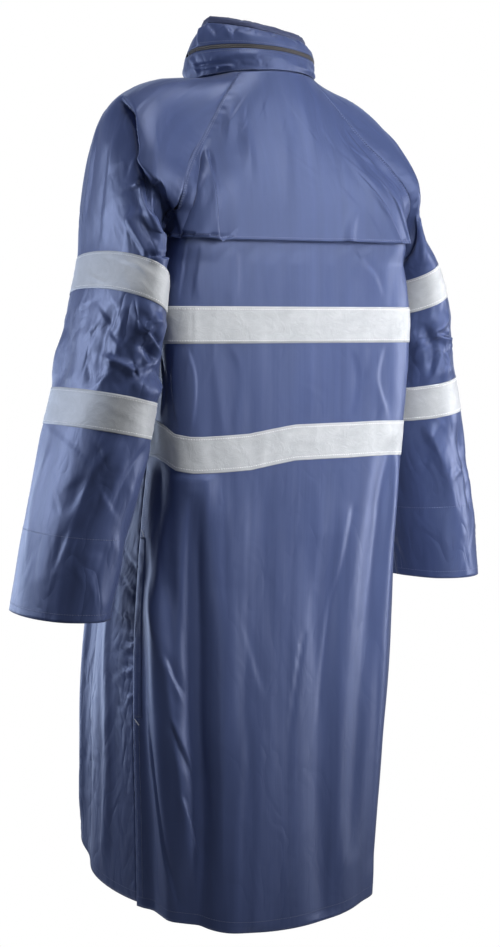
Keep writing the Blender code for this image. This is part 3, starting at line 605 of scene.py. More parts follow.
# %% Half rows of the body
def body_half(table, side, facing, at, s):
    """Half rows of the body at +X, from the centre line at s = 0 to the seam at s = 1."""
    rows = smooth_rows(table, at, slice(3, 6))
    centre_y, centre_z, centre_reach, x, y, z, reach, turn = rows.T
    apart = np.interp(at, range(len(SEAM_APART)), SEAM_APART)
    turn = np.radians(turn)
    centre = points_of(0.0, centre_y, centre_z)
    leave = points_of(centre_reach, centre_y, centre_z)
    seam = points_of(x - apart, y, z)
    arrive = seam + points_of(-reach * np.cos(turn), facing * reach * np.sin(turn), 0.0)
    half = bezier(np.stack([centre, leave, arrive, seam], axis=1), s)
    half[..., 0] += sway(side, at)[:, None]
    return half


print("underarm at", BACK[int(ROW_UNDERARM)][3:6])


# %% Half rows of the sleeves
def sleeve_table(body_table, column, side):
    """Rows of a sleeve half: crest x, y, z and reach, then seam x, y, z, reach, turn and arch."""
    rows = []
    for row, crest in enumerate(CREST):
        seam = body_table[row][3:6]
        seam_x = seam[0] + SEAM_APART[row] + float(sway(side, row))
        turn, reach = SLEEVE_SEAM[row][column : column + 2]
        raised = max(0.0, math.sin(math.pi * row / ROW_ARM)) ** 0.5
        lift = SHOULDER_LIFT[side] * raised
        out = SHOULDER_OUT[side][row]
        forward = SHOULDER_FORWARD[side][row]
        rows.append(
            (crest[0] + out, crest[1] - forward, crest[2] + lift, crest[3 + column // 2])
            + (seam_x, seam[1], seam[2], reach, turn, SLEEVE_SEAM[row][4])
        )
    for row, (x, y, half_x, half_y, outer_z, inner_z) in enumerate(ARM):
        lift = ARM_LIFT[side][row]
        reach = half_y * 4 / 3
        x += ARM_OUT[side][row]
        y -= ARM_FORWARD[side][row]
        rows.append(
            (x + half_x, y, outer_z + lift, reach)
            + (x - half_x, y, inner_z + lift, reach, 90, 0.0)
        )
    return rows


def sleeve_half(side, facing, at, s):
    """Half rows of a sleeve at +X, from the crest at s = 0 to the seam at s = 1."""
    body_table, column = (BACK, 0) if facing > 0 else (FRONT, 2)
    rows = smooth_rows(sleeve_table(body_table, column, side), at, slice(4, 7))
    crest_x, crest_y, crest_z, crest_reach, x, y, z, reach, turn, arch = rows.T
    turn = np.radians(turn)
    crest = points_of(crest_x, crest_y, crest_z)
    leave = crest + points_of(0.0, facing * crest_reach, 0.0)
    seam = points_of(x, y, z)
    rise = arch * (crest_z - z)
    arrive = seam + points_of(reach * np.cos(turn), facing * reach * np.sin(turn), rise)
    return bezier(np.stack([crest, leave, arrive, seam], axis=1), s)


print("the left shoulder starts at", sleeve_table(BACK, 0, "left")[0][:3])

# %% [markdown]
# The broad folds and the pull at the lower tape shape whole panels. A Displace modifier with a texture
# could do it, but a fold has to start and end at certain rows and leave the seams alone, so its height is
# worked out from the place and the row of each point.

# %% Folds and pulls of whole panels
def normals_of(grid):
    """Outward unit normals of a grid whose rows run down and whose columns run anticlockwise from above."""
    normal = np.cross(np.gradient(grid, axis=0), np.gradient(grid, axis=1))
    return normal / np.maximum(np.linalg.norm(normal, axis=2, keepdims=True), 1e-12)


def relief(folds, place, at):
    """Height of the broad folds, which fade in and out along the rows and leave the side seams flat."""
    height = np.zeros((len(at), len(place)))
    for top, bottom, row_top, row_bottom, width, depth in folds:
        middle = np.interp(at, (row_top, row_bottom), (top, bottom))[:, None]
        shape = np.exp(-(((place[None, :] - middle) / width) ** 2))
        fade_in = np.clip((at - row_top) / FOLD_FADE, 0, 1)
        fade_out = np.clip((row_bottom - at) / FOLD_FADE, 0, 1)
        fade = fade_in * (2 - fade_in) * fade_out * (2 - fade_out)
        height += depth * shape * fade[:, None]
    return height * (1 - np.exp(-(((np.abs(place) - 1) / SEAM_HOLD) ** 2)))


def tilt_share(place):
    """0 on the left of the back, 1 on the right, back to 0 at the centre front."""
    return ease(np.clip((0.45 - place) / 0.8, 0, 1)) * np.clip((2 + place) / 0.8, 0, 1)


def pull_lower_tape(grid, rows, places):
    """Tilt and wave the rows round the lower tape."""
    rise = TAPE_TILT * tilt_share(places) + np.interp(places, WAVE_PLACES, WAVE)
    grid[..., 2] += np.interp(rows, TAPE_PULL_ROWS, TAPE_PULL)[:, None] * rise


print("share of the tape's rise at the centre back:", round(float(tilt_share(0.0)), 2))

# %% [markdown]
# ## Fine cloth
#
# Creases need far more points than the plain walls have. Subdividing those walls could give them, but not
# in even squares. A Panel is a new, fine grid of one cut piece, and each of its points knows its row and
# its place across the cloth, so that creases, tapes and stitches are all set out in the same two numbers.

# %% Spacing of rows and places
COARSE = 1.0
# the distance from row to row and from column to column of each grid
BACK_STEPS = (0.0044, 0.0031)
YOKE_STEPS = (0.0026, 0.0026)
FRONT_STEPS = (0.0052, 0.0038)
# a sleeve has two for its columns, and the back half, which shows most, has the finer one
SLEEVE_STEPS = (0.0042, 0.0042, 0.0023)
# between the first two of these rows the rows lie closer by this factor
FRONT_FINE = (11, 16, 1.3)
SLEEVE_FINE = (2.0, 9.9, 1.9)
# two extra columns lie this far from each seam, for its groove
SEAM_COLUMNS = np.array([0.0030, 0.0012])


def spaced_rows(heights, first, last, step, keep=(), fine=(0.0, 0.0, 1.0)):
    """Row numbers at even distances down the cloth, closer by a factor between the two rows given in fine."""
    trial = np.linspace(first, last, 400)
    drop = np.abs(np.diff(np.interp(trial, range(len(heights)), heights)))
    closer = np.where((trial[1:] > fine[0]) & (trial[1:] < fine[1]), fine[2], 1.0)
    length = np.concatenate([[0.0], np.cumsum(drop * closer)])
    count = max(2, round(length[-1] / (step * COARSE))) + 1
    rows = np.interp(np.linspace(0, length[-1], count), length, trial)
    return np.unique(np.round(np.concatenate([rows, keep]), 4))


def spaced_places(length, step):
    """Even shares from 0 to 1, with two extra ones close to the seam at 1 for its groove."""
    count = max(4, round(length / (step * COARSE)))
    shares = np.linspace(0, 1, count + 1)
    return np.unique(np.concatenate([shares[:-1], 1 - SEAM_COLUMNS / length, [1.0]]))


heights = {
    "body": [row[5] for row in BACK],
    "sleeve": [row[2] for row in CREST] + [row[4] for row in ARM],
}
print("grid steps are multiplied by", COARSE)

# %% A panel as a fine grid
class Panel:
    """A cut piece: rows run down, columns run anticlockwise seen from above, places number the columns."""

    def __init__(self, grid, rows, places):
        self.grid = grid
        self.rows = np.asarray(rows, float)
        self.places = np.asarray(places, float)
        self.crush = np.full(self.grid.shape[:2], 0.3)
        self.measure()

    def measure(self):
        steps = np.linalg.norm(np.diff(self.grid, axis=1), axis=2)
        self.across = np.pad(np.cumsum(steps, axis=1), ((0, 0), (1, 0)))
        steps = np.linalg.norm(np.diff(self.grid, axis=0), axis=2)
        self.down = np.pad(np.cumsum(steps, axis=0), ((1, 0), (0, 0)))
        self.normals = normals_of(self.grid)

    def raise_by(self, height):
        self.grid = self.grid + self.normals * height[..., None]
        self.normals = normals_of(self.grid)

    def from_edge(self):
        """Distance of each point from the nearer of the two side edges."""
        return np.minimum(self.across, self.across[:, -1:] - self.across)

    def spots(self, place, row, lift=0.0):
        """Points and normals at these places and rows."""
        order = np.argsort(self.places)
        column = np.interp(place, self.places[order], order.astype(float))
        line = np.interp(row, self.rows, np.arange(len(self.rows)))
        j = np.clip(np.floor(column).astype(int), 0, len(self.places) - 2)
        i = np.clip(np.floor(line).astype(int), 0, len(self.rows) - 2)
        u, v = (column - j)[..., None], (line - i)[..., None]
        mixed = []
        for field in (self.grid, self.normals):
            top = field[i, j] * (1 - u) + field[i, j + 1] * u
            low = field[i + 1, j] * (1 - u) + field[i + 1, j + 1] * u
            mixed.append(top * (1 - v) + low * v)
        points, normals = mixed
        normals = normals / np.linalg.norm(normals, axis=-1, keepdims=True)
        return points + normals * lift, normals

    def area(self):
        first = self.grid[1:, 1:] - self.grid[:-1, :-1]
        second = self.grid[1:, :-1] - self.grid[:-1, 1:]
        return float(np.linalg.norm(np.cross(first, second), axis=2).sum() / 2)


print("a panel can", ", ".join(name for name in vars(Panel) if name[0] != "_"))

# %% [markdown]
# Along a seam the cloth turns in, and the thread draws it into small puckers on both sides. A groove
# could be inset and pushed in by hand along each edge, but every seam needs the same one, so a helper
# works it out from the distance to the side edges.

# %% Sewn side edges
GROOVE_DEPTH = 0.0006
GROOVE_WIDTH = 0.0022
PUCKER_HEIGHT = 0.0006
PUCKER_FROM_SEAM = 0.007
PUCKER_WIDTH = 0.006
# two waves whose product looks uneven
PUCKER_PITCH = 0.017
PUCKER_BEAT = 0.0457


def seam_groove(panel):
    """Sewn edges turn in a little and the cloth puckers along them."""
    edge = panel.from_edge()
    down = panel.down * 2 * math.pi
    wave = np.sin(down / PUCKER_PITCH) * np.sin(down / PUCKER_BEAT + 1.0)
    pucker = PUCKER_HEIGHT * wave * np.exp(-(((edge - PUCKER_FROM_SEAM) / PUCKER_WIDTH) ** 2))
    return pucker - GROOVE_DEPTH * np.exp(-((edge / GROOVE_WIDTH) ** 2))


print("seams pucker about every", PUCKER_PITCH, "m")

# %% [markdown]
# ### Creases
#
# Nylon keeps its creases, and they could be sculpted one after the other. As lines they can be corrected
# alone and come out the same on a coarse or a fine grid. A crease is a line through a few (place, row)
# pairs with a width on each side and a height. A small rounding gives the crisp edge of folded nylon and
# a large one a soft swell. Heights below zero are valleys, and a pair of heights, for the left and the
# right of the line, makes a step where one layer overhangs.

# %% Height of one crease
CREASE_PEAK = 1.4
STEP_WIDTH = 0.003
RUN_OUT = 0.008


def crease_height(panel, line, left, right, height, rounding, fades):
    """Height of a crease along a line of points.

    left and right are its widths beside the way down the line. height is a pair, for the left and the right,
    and each of the two may be a list of heights along the line.
    """
    made = np.zeros(panel.grid.shape[:2])
    reach = max(left, right)
    near = ((panel.grid > line.min(0) - reach) & (panel.grid < line.max(0) + reach)).all(-1)
    spots = panel.grid[near]
    if not len(spots):
        return made
    # the nearest spot of the line, as a step of it and a share of that step
    step = np.diff(line, axis=0)
    length = (step**2).sum(1) + 1e-12
    from_start = spots[:, None] - line[None, :-1]
    share = np.clip((from_start * step[None]).sum(2) / length, 0, 1)
    offset = from_start - share[..., None] * step[None]
    distance = np.linalg.norm(offset, axis=2)
    nearest = distance.argmin(1)
    each = np.arange(len(spots))
    distance = distance[each, nearest]
    along = (nearest + share[each, nearest]) / len(step)
    # the side of the line, from 0 on its left to 1 on its right
    across = np.cross(panel.normals[near], step[nearest])
    signed = np.sign((across * offset[each, nearest]).sum(1)) * distance
    over = ease(np.clip(0.5 + signed / max(4 * rounding, STEP_WIDTH), 0, 1))
    bend = np.sqrt(distance**2 + rounding**2) - rounding
    low, high = (np.clip(1 - bend / width, 0, 1) ** CREASE_PEAK for width in (left, right))
    tall_low, tall_high = (np.interp(along, np.linspace(0, 1, np.size(h)), np.atleast_1d(h)) for h in height)
    profile = tall_low * low * (1 - over) + tall_high * high * over
    # it fades in and out along the line, and runs out soon past both of its ends
    start, end = (np.clip(way / max(fade, 1e-6), 0, 1) for way, fade in zip((along, 1 - along), fades))
    past_start = -(from_start[:, 0] * step[0]).sum(1) / length[0] ** 0.5
    past_end = (from_start[:, -1] * step[-1]).sum(1) / length[-1] ** 0.5 - length[-1] ** 0.5
    run_out = np.clip(1 - np.maximum(past_start, past_end) / RUN_OUT, 0, 1)
    made[near] = profile * ease(start) * ease(end) * np.where((along <= 0) | (along >= 1), run_out, 1.0)
    return made


print("a crease runs out within", RUN_OUT, "m of its ends")

# %% [markdown]
# The large creases are listed one by one. Between them lie many small ones, and at the elbows and cuffs the
# cloth is crushed into facets. Drawing those by hand would take days and nobody looks at one of them
# alone, so random numbers strew them. A fixed seed for each patch gives the same cloth every time.

# %% Creases listed one by one
MM = 0.001


def along_path(path, t):
    """Places and rows on a smooth curve through a few (place, row) pairs; t runs from 0 to 1."""
    return (smooth_between([stop[k] for stop in path], t) for k in (0, 1))


def lay_creases(panel, creases):
    """Add up creases given as (path, left, right, height, rounding, start fade, end fade), in millimetres."""
    height = np.zeros(panel.grid.shape[:2])
    for path, left, right, tall, rounding, start, end in creases:
        line, _ = panel.spots(*along_path(path, np.linspace(0, 1, 6 * len(path))))
        pair = MM * np.broadcast_to(tall, 2)
        height += crease_height(panel, line, left * MM, right * MM, pair, rounding * MM, (start, end))
    return height


print("widths and heights of creases are given in units of", MM, "m")


# %% Small creases strewn over a patch
def scatter_creases(seed, count, places, rows, slant, size, tall, spread=0.3, soft=(0.5, 1.6)):
    """Small creases strewn over a patch, about along a slant (places per row), for crumpled cloth.

    size is their length in rows and tall their height in millimetres.
    """
    dice = np.random.default_rng(seed)
    creases = []
    for _ in range(count):
        place = dice.uniform(*places)
        row = dice.uniform(*rows)
        lean = slant + dice.normal(0, spread)
        half = size * dice.uniform(0.5, 1.4) / 2
        middle = (place + 0.02 * dice.normal(), row)
        path = ((place - lean * half, row - half), middle, (place + lean * half, row + half))
        left, right = dice.uniform(6, 22, 2)
        high = tall * dice.uniform(0.3, 1.0) * dice.choice((-1, 1))
        creases.append((path, left, right, (high, -0.7 * high), dice.uniform(*soft), 0.5, 0.5))
    return creases


example = scatter_creases(1, 1, (0, 1), (0, 1), 0.0, 1.0, 1.0)[0]
print("a strewn crease is", round(example[1]), "mm wide on its left,", round(example[2]), "mm on its right")

# %% Crushed cloth
# level and rounding of the facets, and how far in from the sewn edges they begin
FACET_LEVEL = 0.7
FACET_ROUNDING = 0.0012
FACET_HOLD = 0.02


def crumple(panel, seed, size, tall, span, fade=0.4):
    """Crushed cloth between two rows: flat facets that meet in crisp ridges and valleys.

    The zero lines of a few crossed waves are close to straight, so folding the waves over there gives the
    facets. size is the facets' width across and down the cloth and tall their height, in metres.
    """
    dice = np.random.default_rng(seed)
    height = np.zeros(panel.grid.shape[:2])
    for sign in (1, -1):
        wave = np.zeros_like(height)
        for turn in np.linspace(0, math.pi, 7)[:-1] + dice.uniform(0, 0.5):
            pace = math.pi * dice.uniform(0.7, 1.3)
            wave += np.sin(
                pace * (math.cos(turn) * panel.across / size[0] + math.sin(turn) * panel.down / size[1])
                + dice.uniform(0, 2 * math.pi)
            )
        height += sign * (FACET_LEVEL - np.sqrt((wave / 1.7) ** 2 + FACET_ROUNDING))
    start, end = (np.clip(way / fade, 0, 1) for way in (panel.rows - span[0], span[1] - panel.rows))
    edge = np.clip(panel.from_edge() / FACET_HOLD, 0, 1)
    return tall * height * (ease(start) * ease(end))[:, None] * edge


print("facets begin", FACET_HOLD, "m in from the sewn edges")

# %% [markdown]
# The cloth itself is a thin shell. Its outer face is the panel's grid, and Solidify gives it the
# thickness and the inner face. Unwrapping could make its UV map, but the panel has already measured
# itself along and across the grain, so the map holds those distances in metres and every streak follows
# the grain.

# %% Shells of cloth
THIN = 0.0006
DOUBLED = 0.0008


def make_shell(name, panel, nodes, thickness=THIN, slot="navy_nylon", finishes=(navy, navy_inside)):
    """A shell that rides on the coat and stands for its nodes, with a thickness and a grain map."""
    count_down, count_along = panel.grid.shape[:2]
    corner = (np.arange(count_down - 1)[:, None] * count_along + np.arange(count_along - 1)[None, :]).ravel()
    faces = np.stack([corner, corner + count_along, corner + count_along + 1, corner + 1], axis=1)
    mesh = bpy.data.meshes.new(name)
    mesh.from_pydata(panel.grid.reshape(-1, 3).tolist(), [], faces.tolist())
    grain = mesh.uv_layers.new(name="grain")
    middle = panel.across[:, panel.across.shape[1] // 2][:, None]
    flat = np.stack([panel.across - middle, -panel.down], axis=-1).reshape(-1, 2)
    grain.data.foreach_set("uv", flat[faces.ravel()].ravel().astype(np.float32))
    crush = mesh.attributes.new("crush", "FLOAT", "POINT")
    crush.data.foreach_set("value", panel.crush.ravel().astype(np.float32))
    for finish in finishes:
        mesh.materials.append(finish)
    mesh.shade_smooth()
    piece = bpy.data.objects.new(name, mesh)
    bpy.context.scene.collection.objects.link(piece)
    wall = piece.modifiers.new("thickness", "SOLIDIFY")
    wall.thickness = thickness
    wall.offset = -1.0
    wall.use_even_offset = False
    wall.material_offset = 1
    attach(piece, "coat")
    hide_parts(*nodes)
    return piece


def make_cloth(name, panel, nodes, held="stretched", **looks):
    """A shell of cloth that also states its cut."""
    piece = make_shell(name, panel, nodes, **looks)
    width = float(panel.across[:, -1].max())
    length = float(panel.down[-1].max())
    min(panel.area(), width * length)
    print(name, "cut", round(width, 3), "by", round(length, 3), "m, faces", len(piece.data.polygons))


print("one layer of cloth is", THIN, "m thick")

# %% [markdown]
# ## Back and yoke
#
# The back hangs under a loose yoke flap that is stitched along its lower edge. Its creases run down the
# grain and spread towards the hem. One sheet could stand for both, but the yoke's edge has to stand off
# and cast a shadow, so they are two panels that overlap. Every row of these tables is a crease: its path
# as (place, row) pairs, its left and right width, its height and its rounding in millimetres, and its two
# fades as shares of its length.

# %% Creases of the back
BACK_CREASES = [
    (((0.98, 12.3), (0.96, 13.1), (0.94, 13.8), (0.93, 14.4), (0.92, 15.2), (0.90, 15.95)),
     12, 26, -1.5, 4.0, 0.3, 0.0),
    (((0.92, 12.3), (0.82, 12.6), (0.76, 13.0), (0.71, 13.5), (0.67, 14.1), (0.63, 14.7), (0.56, 15.8)),
     52, 34, 11.0, 1.6, 0.25, 0.1),
    (((0.43, 11.2), (0.46, 12.2), (0.47, 13.0), (0.48, 13.9), (0.49, 14.7), (0.51, 15.9)),
     30, 28, -8.5, 1.2, 0.2, 0.12),
    (((0.40, 11.0), (0.41, 11.7), (0.42, 12.4), (0.42, 13.2)), 56, 24, 5.0, 5.0, 0.05, 0.5),
    (((0.84, 11.0), (0.80, 11.8), (0.72, 12.6), (0.68, 13.4)), 22, 38, -4.0, 3.0, 0.1, 0.5),
    (((0.74, 13.1), (0.66, 13.45), (0.58, 13.74)), 12, 14, (2.0, -3.0), 0.7, 0.3, 0.2),
    (((0.69, 13.9), (0.62, 14.2), (0.54, 14.5)), 12, 14, (-2.4, 2.6), 0.7, 0.2, 0.2),
    (((0.64, 14.6), (0.58, 14.9), (0.52, 15.3)), 10, 12, (2.0, -2.6), 0.7, 0.2, 0.2),
    (((0.90, 13.3), (0.84, 14.3), (0.74, 15.3), (0.66, 15.9)), 22, 12, (1.4, -2.4), 1.0, 0.4, 0.1),
    (((0.78, 12.2), (0.75, 12.8), (0.72, 13.4)), 10, 14, 2.0, 1.5, 0.4, 0.4),
    (((-0.22, 11.64), (-0.19, 12.30), (-0.15, 12.84), (-0.12, 13.74), (-0.08, 14.44)),
     50, 24, (0.6, -1.8), 2.0, 0.05, 0.4),
    (((-0.22, 11.64), (-0.27, 12.32), (-0.31, 12.96), (-0.37, 13.91), (-0.38, 14.9)),
     40, 60, 2.4, 6.0, 0.12, 0.4),
    (((-0.04, 13.0), (-0.01, 13.5), (0.03, 14.4)), 26, 10, (0.3, -1.8), 1.0, 0.1, 0.4),
    (((-0.46, 12.6), (-0.51, 14.2), (-0.55, 15.8)), 22, 26, -2.6, 3.0, 0.4, 0.1),
    (((0.24, 12.7), (0.17, 13.4), (0.12, 13.8)), 26, 18, (0.7, -0.7), 2.4, 0.4, 0.4),
    (((0.30, 11.1), (0.28, 12.2), (0.30, 13.6)), 30, 34, 2.4, 4.0, 0.3, 0.5),
    (((0.10, 11.1), (0.12, 12.3), (0.06, 13.6)), 30, 26, -2.0, 4.0, 0.3, 0.5),
    (((-0.05, 11.1), (-0.08, 12.2), (-0.02, 13.4)), 24, 26, 1.8, 4.0, 0.3, 0.5),
    (((0.12, 13.2), (0.16, 14.6), (0.20, 15.95)), 40, 40, 3.4, 6.0, 0.5, 0.0),
    (((-0.10, 14.0), (-0.14, 15.0), (-0.16, 15.95)), 34, 34, -2.4, 6.0, 0.5, 0.0),
    (((-0.72, 11.2), (-0.74, 12.8), (-0.78, 15.0)), 24, 24, -3.4, 3.0, 0.3, 0.2),
    (((-0.16, 5.05), (-0.21, 5.9), (-0.27, 6.3), (-0.30, 6.85)), 26, 14, (1.3, -1.1), 1.0, 0.1, 0.3),
    (((0.22, 5.1), (0.19, 6.1), (0.19, 6.95)), 26, 18, (0.7, -0.4), 1.4, 0.3, 0.2),
    (((0.41, 5.1), (0.41, 6.2), (0.43, 6.95)), 18, 24, (-0.8, 0.6), 1.2, 0.2, 0.2),
    (((0.54, 5.2), (0.52, 6.1), (0.55, 6.95)), 18, 16, (0.8, -0.8), 1.2, 0.2, 0.2),
    (((-0.50, 5.2), (-0.56, 6.1), (-0.54, 6.95)), 24, 18, (0.9, -0.7), 1.2, 0.3, 0.2),
    (((0.46, 8.05), (0.41, 8.8), (0.46, 9.9)), 16, 24, (1.0, -0.9), 1.2, 0.2, 0.2),
    (((0.60, 8.05), (0.66, 8.9), (0.60, 9.9)), 16, 18, (-1.1, 1.0), 1.2, 0.2, 0.2),
    (((0.22, 8.05), (0.19, 8.8), (0.23, 9.9)), 26, 30, (-0.6, 0.7), 1.6, 0.2, 0.2),
    (((-0.15, 8.05), (-0.19, 8.9), (-0.17, 9.9)), 24, 28, (-0.7, 0.7), 1.4, 0.2, 0.2),
    (((-0.30, 8.05), (-0.28, 8.9), (-0.37, 9.9)), 20, 28, (0.9, -0.7), 1.4, 0.2, 0.2),
    (((-0.62, 8.1), (-0.58, 9.0), (-0.64, 9.9)), 22, 20, (1.1, -0.9), 1.2, 0.3, 0.3),
    (((0.84, 8.1), (0.78, 9.0), (0.84, 9.9)), 16, 18, (1.7, -1.3), 1.0, 0.3, 0.3),
]
print("creases of the back:", len(BACK_CREASES))

# %% Creases of the yoke
# the first two are the fold that runs into the notch of its loose edge
YOKE_CREASES = [
    (((0.91, 2.47), (0.72, 3.2), (0.49, 3.98), (0.30, 5.05)), 30, 9, (7.0, -4.0), 1.0, 0.3, 0.0),
    (((0.70, 2.9), (0.45, 3.9), (0.26, 5.05)), 10, 30, -3.0, 2.0, 0.4, 0.0),
    (((0.85, 1.0), (0.72, 1.8), (0.59, 2.7)), 10, 16, 2.6, 2.0, 0.4, 0.5),
    (((0.55, 1.3), (0.35, 2.6), (0.21, 3.8)), 14, 10, 2.2, 2.0, 0.4, 0.5),
    (((-0.15, 5.05), (-0.17, 4.6), (-0.23, 4.0)), 7, 14, 3.4, 1.0, 0.0, 0.6),
    (((-0.23, 0.6), (-0.15, 1.8), (-0.08, 3.4)), 14, 20, 2.2, 3.0, 0.4, 0.5),
    (((-0.80, 1.6), (-0.78, 2.6), (-0.74, 3.8)), 10, 16, (0.8, -0.8), 1.6, 0.3, 0.4),
    (((-0.62, 3.2), (-0.60, 4.2), (-0.58, 5.0)), 12, 9, (-1.4, 1.4), 0.8, 0.4, 0.0),
    (((-0.40, 3.0), (-0.44, 4.2), (-0.47, 5.0)), 9, 14, (1.6, -1.2), 0.8, 0.4, 0.0),
    (((-0.55, 1.4), (-0.50, 2.8), (-0.42, 4.2)), 14, 14, 2.0, 3.0, 0.4, 0.4),
    (((0.05, 1.6), (0.06, 3.0), (0.03, 4.6)), 16, 14, 1.6, 3.0, 0.4, 0.4),
]
print("creases of the yoke:", len(YOKE_CREASES))

# %% [markdown]
# The back is one cut piece between the two side seams. Its grid starts a little above the yoke's edge and
# is sunk there, so that the two never touch. It could run on up to the neck, but nobody would ever see
# that part.

# %% Back
UNDER_YOKE = 0.0035
BACK_HOLD = 0.010
# half its width along the cloth, for the number of columns
HALF_BACK = 0.29


def back_base(rows, folds, step):
    """The back between its two seams, with its broad folds."""
    shares = spaced_places(HALF_BACK, step)
    s = np.tile(shares, (len(rows), 1))
    left = body_half(BACK, "left", 1, rows, s)
    right = body_half(BACK, "right", 1, rows, s) * (-1, 1, 1)
    grid = np.concatenate([left[:, :0:-1], right], axis=1)
    places = np.concatenate([shares[:0:-1], -shares])
    pull_lower_tape(grid, rows, places)
    panel = Panel(grid, rows, places)
    panel.raise_by(relief(folds, places, rows))
    return panel


back_rows = spaced_rows(heights["body"], ROW_FLAP_TOP, ROW_HEM, BACK_STEPS[0], TAPE_EDGES)
back = back_base(back_rows, BODY_FOLDS, BACK_STEPS[1])
sunk = -UNDER_YOKE * np.clip(ROW_UNDERARM - back_rows, 0, 1)[:, None]
small = scatter_creases(3, 34, (-0.9, 0.9), (5.2, 11.2), 0.02, 1.2, 0.7, 0.06, (1.5, 4.0))
small += scatter_creases(4, 30, (-0.9, 0.9), (11.4, 15.8), 0.0, 1.8, 0.9, 0.03, (3.0, 7.0))
held = 1 - np.exp(-((back.from_edge() / BACK_HOLD) ** 2))
crushed = crumple(back, 31, (0.050, 0.300), 0.0003, (11.0, 17.0), 0.8)
crushed += crumple(back, 32, (0.030, 0.160), 0.0004, (5.0, 11.0))
height = lay_creases(back, BACK_CREASES + small) * held
back.raise_by(WALL / 2 + sunk + height + crushed + seam_groove(back))
back.crush[:] = np.interp(back_rows, (5, 11, 12, 16), (0.06, 0.06, 0.10, 0.14))[:, None]
make_cloth("back_cloth", back, ["back_panel"])

# %% [markdown]
# Behind the armhole the raglan seam spans a hollow. The two edges could be moved point by point until
# they meet, but both panels know how far each point is from the seam. So the yoke and the sleeve are
# lifted there by the same amounts, and one runs on smoothly into the other.

# %% Base of the yoke and of the sleeves
BRIDGE_ROWS = (1.0, 2.0, 2.5, 3.0, 3.5, 4.0, 4.25, 4.42, 4.8)
BRIDGE = {
    "left": (0.0, 0.004, 0.006, 0.009, 0.014, 0.020, 0.022, 0.002, 0.0),
    "right": (0.0, 0.004, 0.006, 0.009, 0.013, 0.017, 0.018, 0.016, 0.0),
}
BRIDGE_WIDTH = 0.055
HALF_SLEEVE = 0.19


def bridge(panel, from_seam, side):
    """Lift a panel over the hollow behind the armhole, most of all at the raglan seam."""
    lift = np.interp(panel.rows, BRIDGE_ROWS, BRIDGE[side])[:, None]
    panel.grid[..., 1] += lift * np.clip(1 - from_seam / BRIDGE_WIDTH, 0, 1) ** 2
    panel.measure()


def sleeve_base(side, rows):
    """The sleeve round the arm with its broad folds."""
    front_shares, back_shares = (spaced_places(HALF_SLEEVE, step) for step in SLEEVE_STEPS[1:])
    front_half, back_half = (
        sleeve_half(side, facing, rows, np.tile(shares, (len(rows), 1)))
        for facing, shares in ((-1, front_shares), (1, back_shares))
    )
    grid = np.concatenate([front_half[:, :0:-1], back_half], axis=1)
    places = np.concatenate([-front_shares[:0:-1], back_shares])
    if side == "right":
        grid = (grid * (-1, 1, 1))[:, ::-1]
        places = places[::-1]
    sleeve = Panel(grid, rows, places)
    sleeve.raise_by(relief(SLEEVE_FOLDS, places, rows))
    bridge(sleeve, sleeve.across[:, -1:] - sleeve.across if side == "left" else sleeve.across, side)
    return sleeve


yoke_rows = spaced_rows(heights["body"], 0.0, ROW_YOKE_EDGE + 0.04, YOKE_STEPS[0])
yoke = back_base(yoke_rows, YOKE_FOLDS, YOKE_STEPS[1])
bridge(yoke, yoke.across, "left")
bridge(yoke, yoke.across[:, -1:] - yoke.across, "right")
sleeve_rows = spaced_rows(heights["sleeve"], 0.0, ROW_CUFF, SLEEVE_STEPS[0], TAPE_EDGES, SLEEVE_FINE)
sleeves = {side: sleeve_base(side, sleeve_rows) for side in ("left", "right")}
print("rows of each sleeve:", len(sleeve_rows))

# %% [markdown]
# On the left the cloth of the shoulder hangs past the arm. Its edge runs down the sleeve, turns in under
# the arm and crosses the raglan seam on to the yoke. Below it the cloth turns under to a second edge. A
# separate flap could hang there, but the real cloth is one piece. So both edges are creases with a step
# in them, high on one side and deep on the other, and the same lines shape the sleeve and the yoke.

# %% Overhang of the left shoulder
EDGE_ON_ARM = [
    (-0.04, 2.34), (0.08, 2.52), (0.20, 2.76), (0.31, 3.06), (0.37, 3.48), (0.41, 4.01),
    (0.40, 4.34), (0.53, 4.46), (0.68, 4.36), (0.83, 4.34), (0.97, 4.30),
]
EDGE_ON_YOKE = [(0.92, 4.38), (0.85, 4.47), (0.78, 4.70), (0.72, 4.94)]
FOLD_ON_ARM = [
    (0.41, 4.20), (0.36, 4.60), (0.37, 4.82), (0.43, 5.00),
    (0.52, 5.14), (0.66, 5.14), (0.84, 4.98), (0.97, 4.84),
]
FOLD_ON_YOKE = [(0.90, 4.84), (0.80, 4.97)]
# heights along each line, on the arm's side of it and on the side of the cloth that hangs over, in metres
ARM_SIDE = (-0.008, -0.015, -0.017, -0.012, -0.004, -0.003, -0.002, -0.002)
CLOTH_SIDE = (0.004, 0.008, 0.009, 0.010, 0.010, 0.009, 0.008, 0.006)
GROOVE = (-0.004, -0.007, -0.009, -0.008, -0.004, -0.002, 0.0)
FOLD_ARM_SIDE = (0.0, -0.007, -0.008, -0.006)
FOLD_CLOTH_SIDE = (0.0, 0.002, 0.002, 0.002)
EDGE_ROUNDING = 0.0006


def line_over(path_on_arm, path_on_yoke):
    """One smooth line of points that runs from the left sleeve on to the yoke."""
    paths = ((sleeves["left"], path_on_arm), (yoke, path_on_yoke))
    line = np.concatenate([panel.spots(*np.array(path).T)[0] for panel, path in paths])
    return np.stack([smooth_between(line[:, k], np.linspace(0, 1, 90)) for k in range(3)], axis=1)


overhang = line_over(EDGE_ON_ARM, EDGE_ON_YOKE)
turned_under = line_over(FOLD_ON_ARM, FOLD_ON_YOKE)


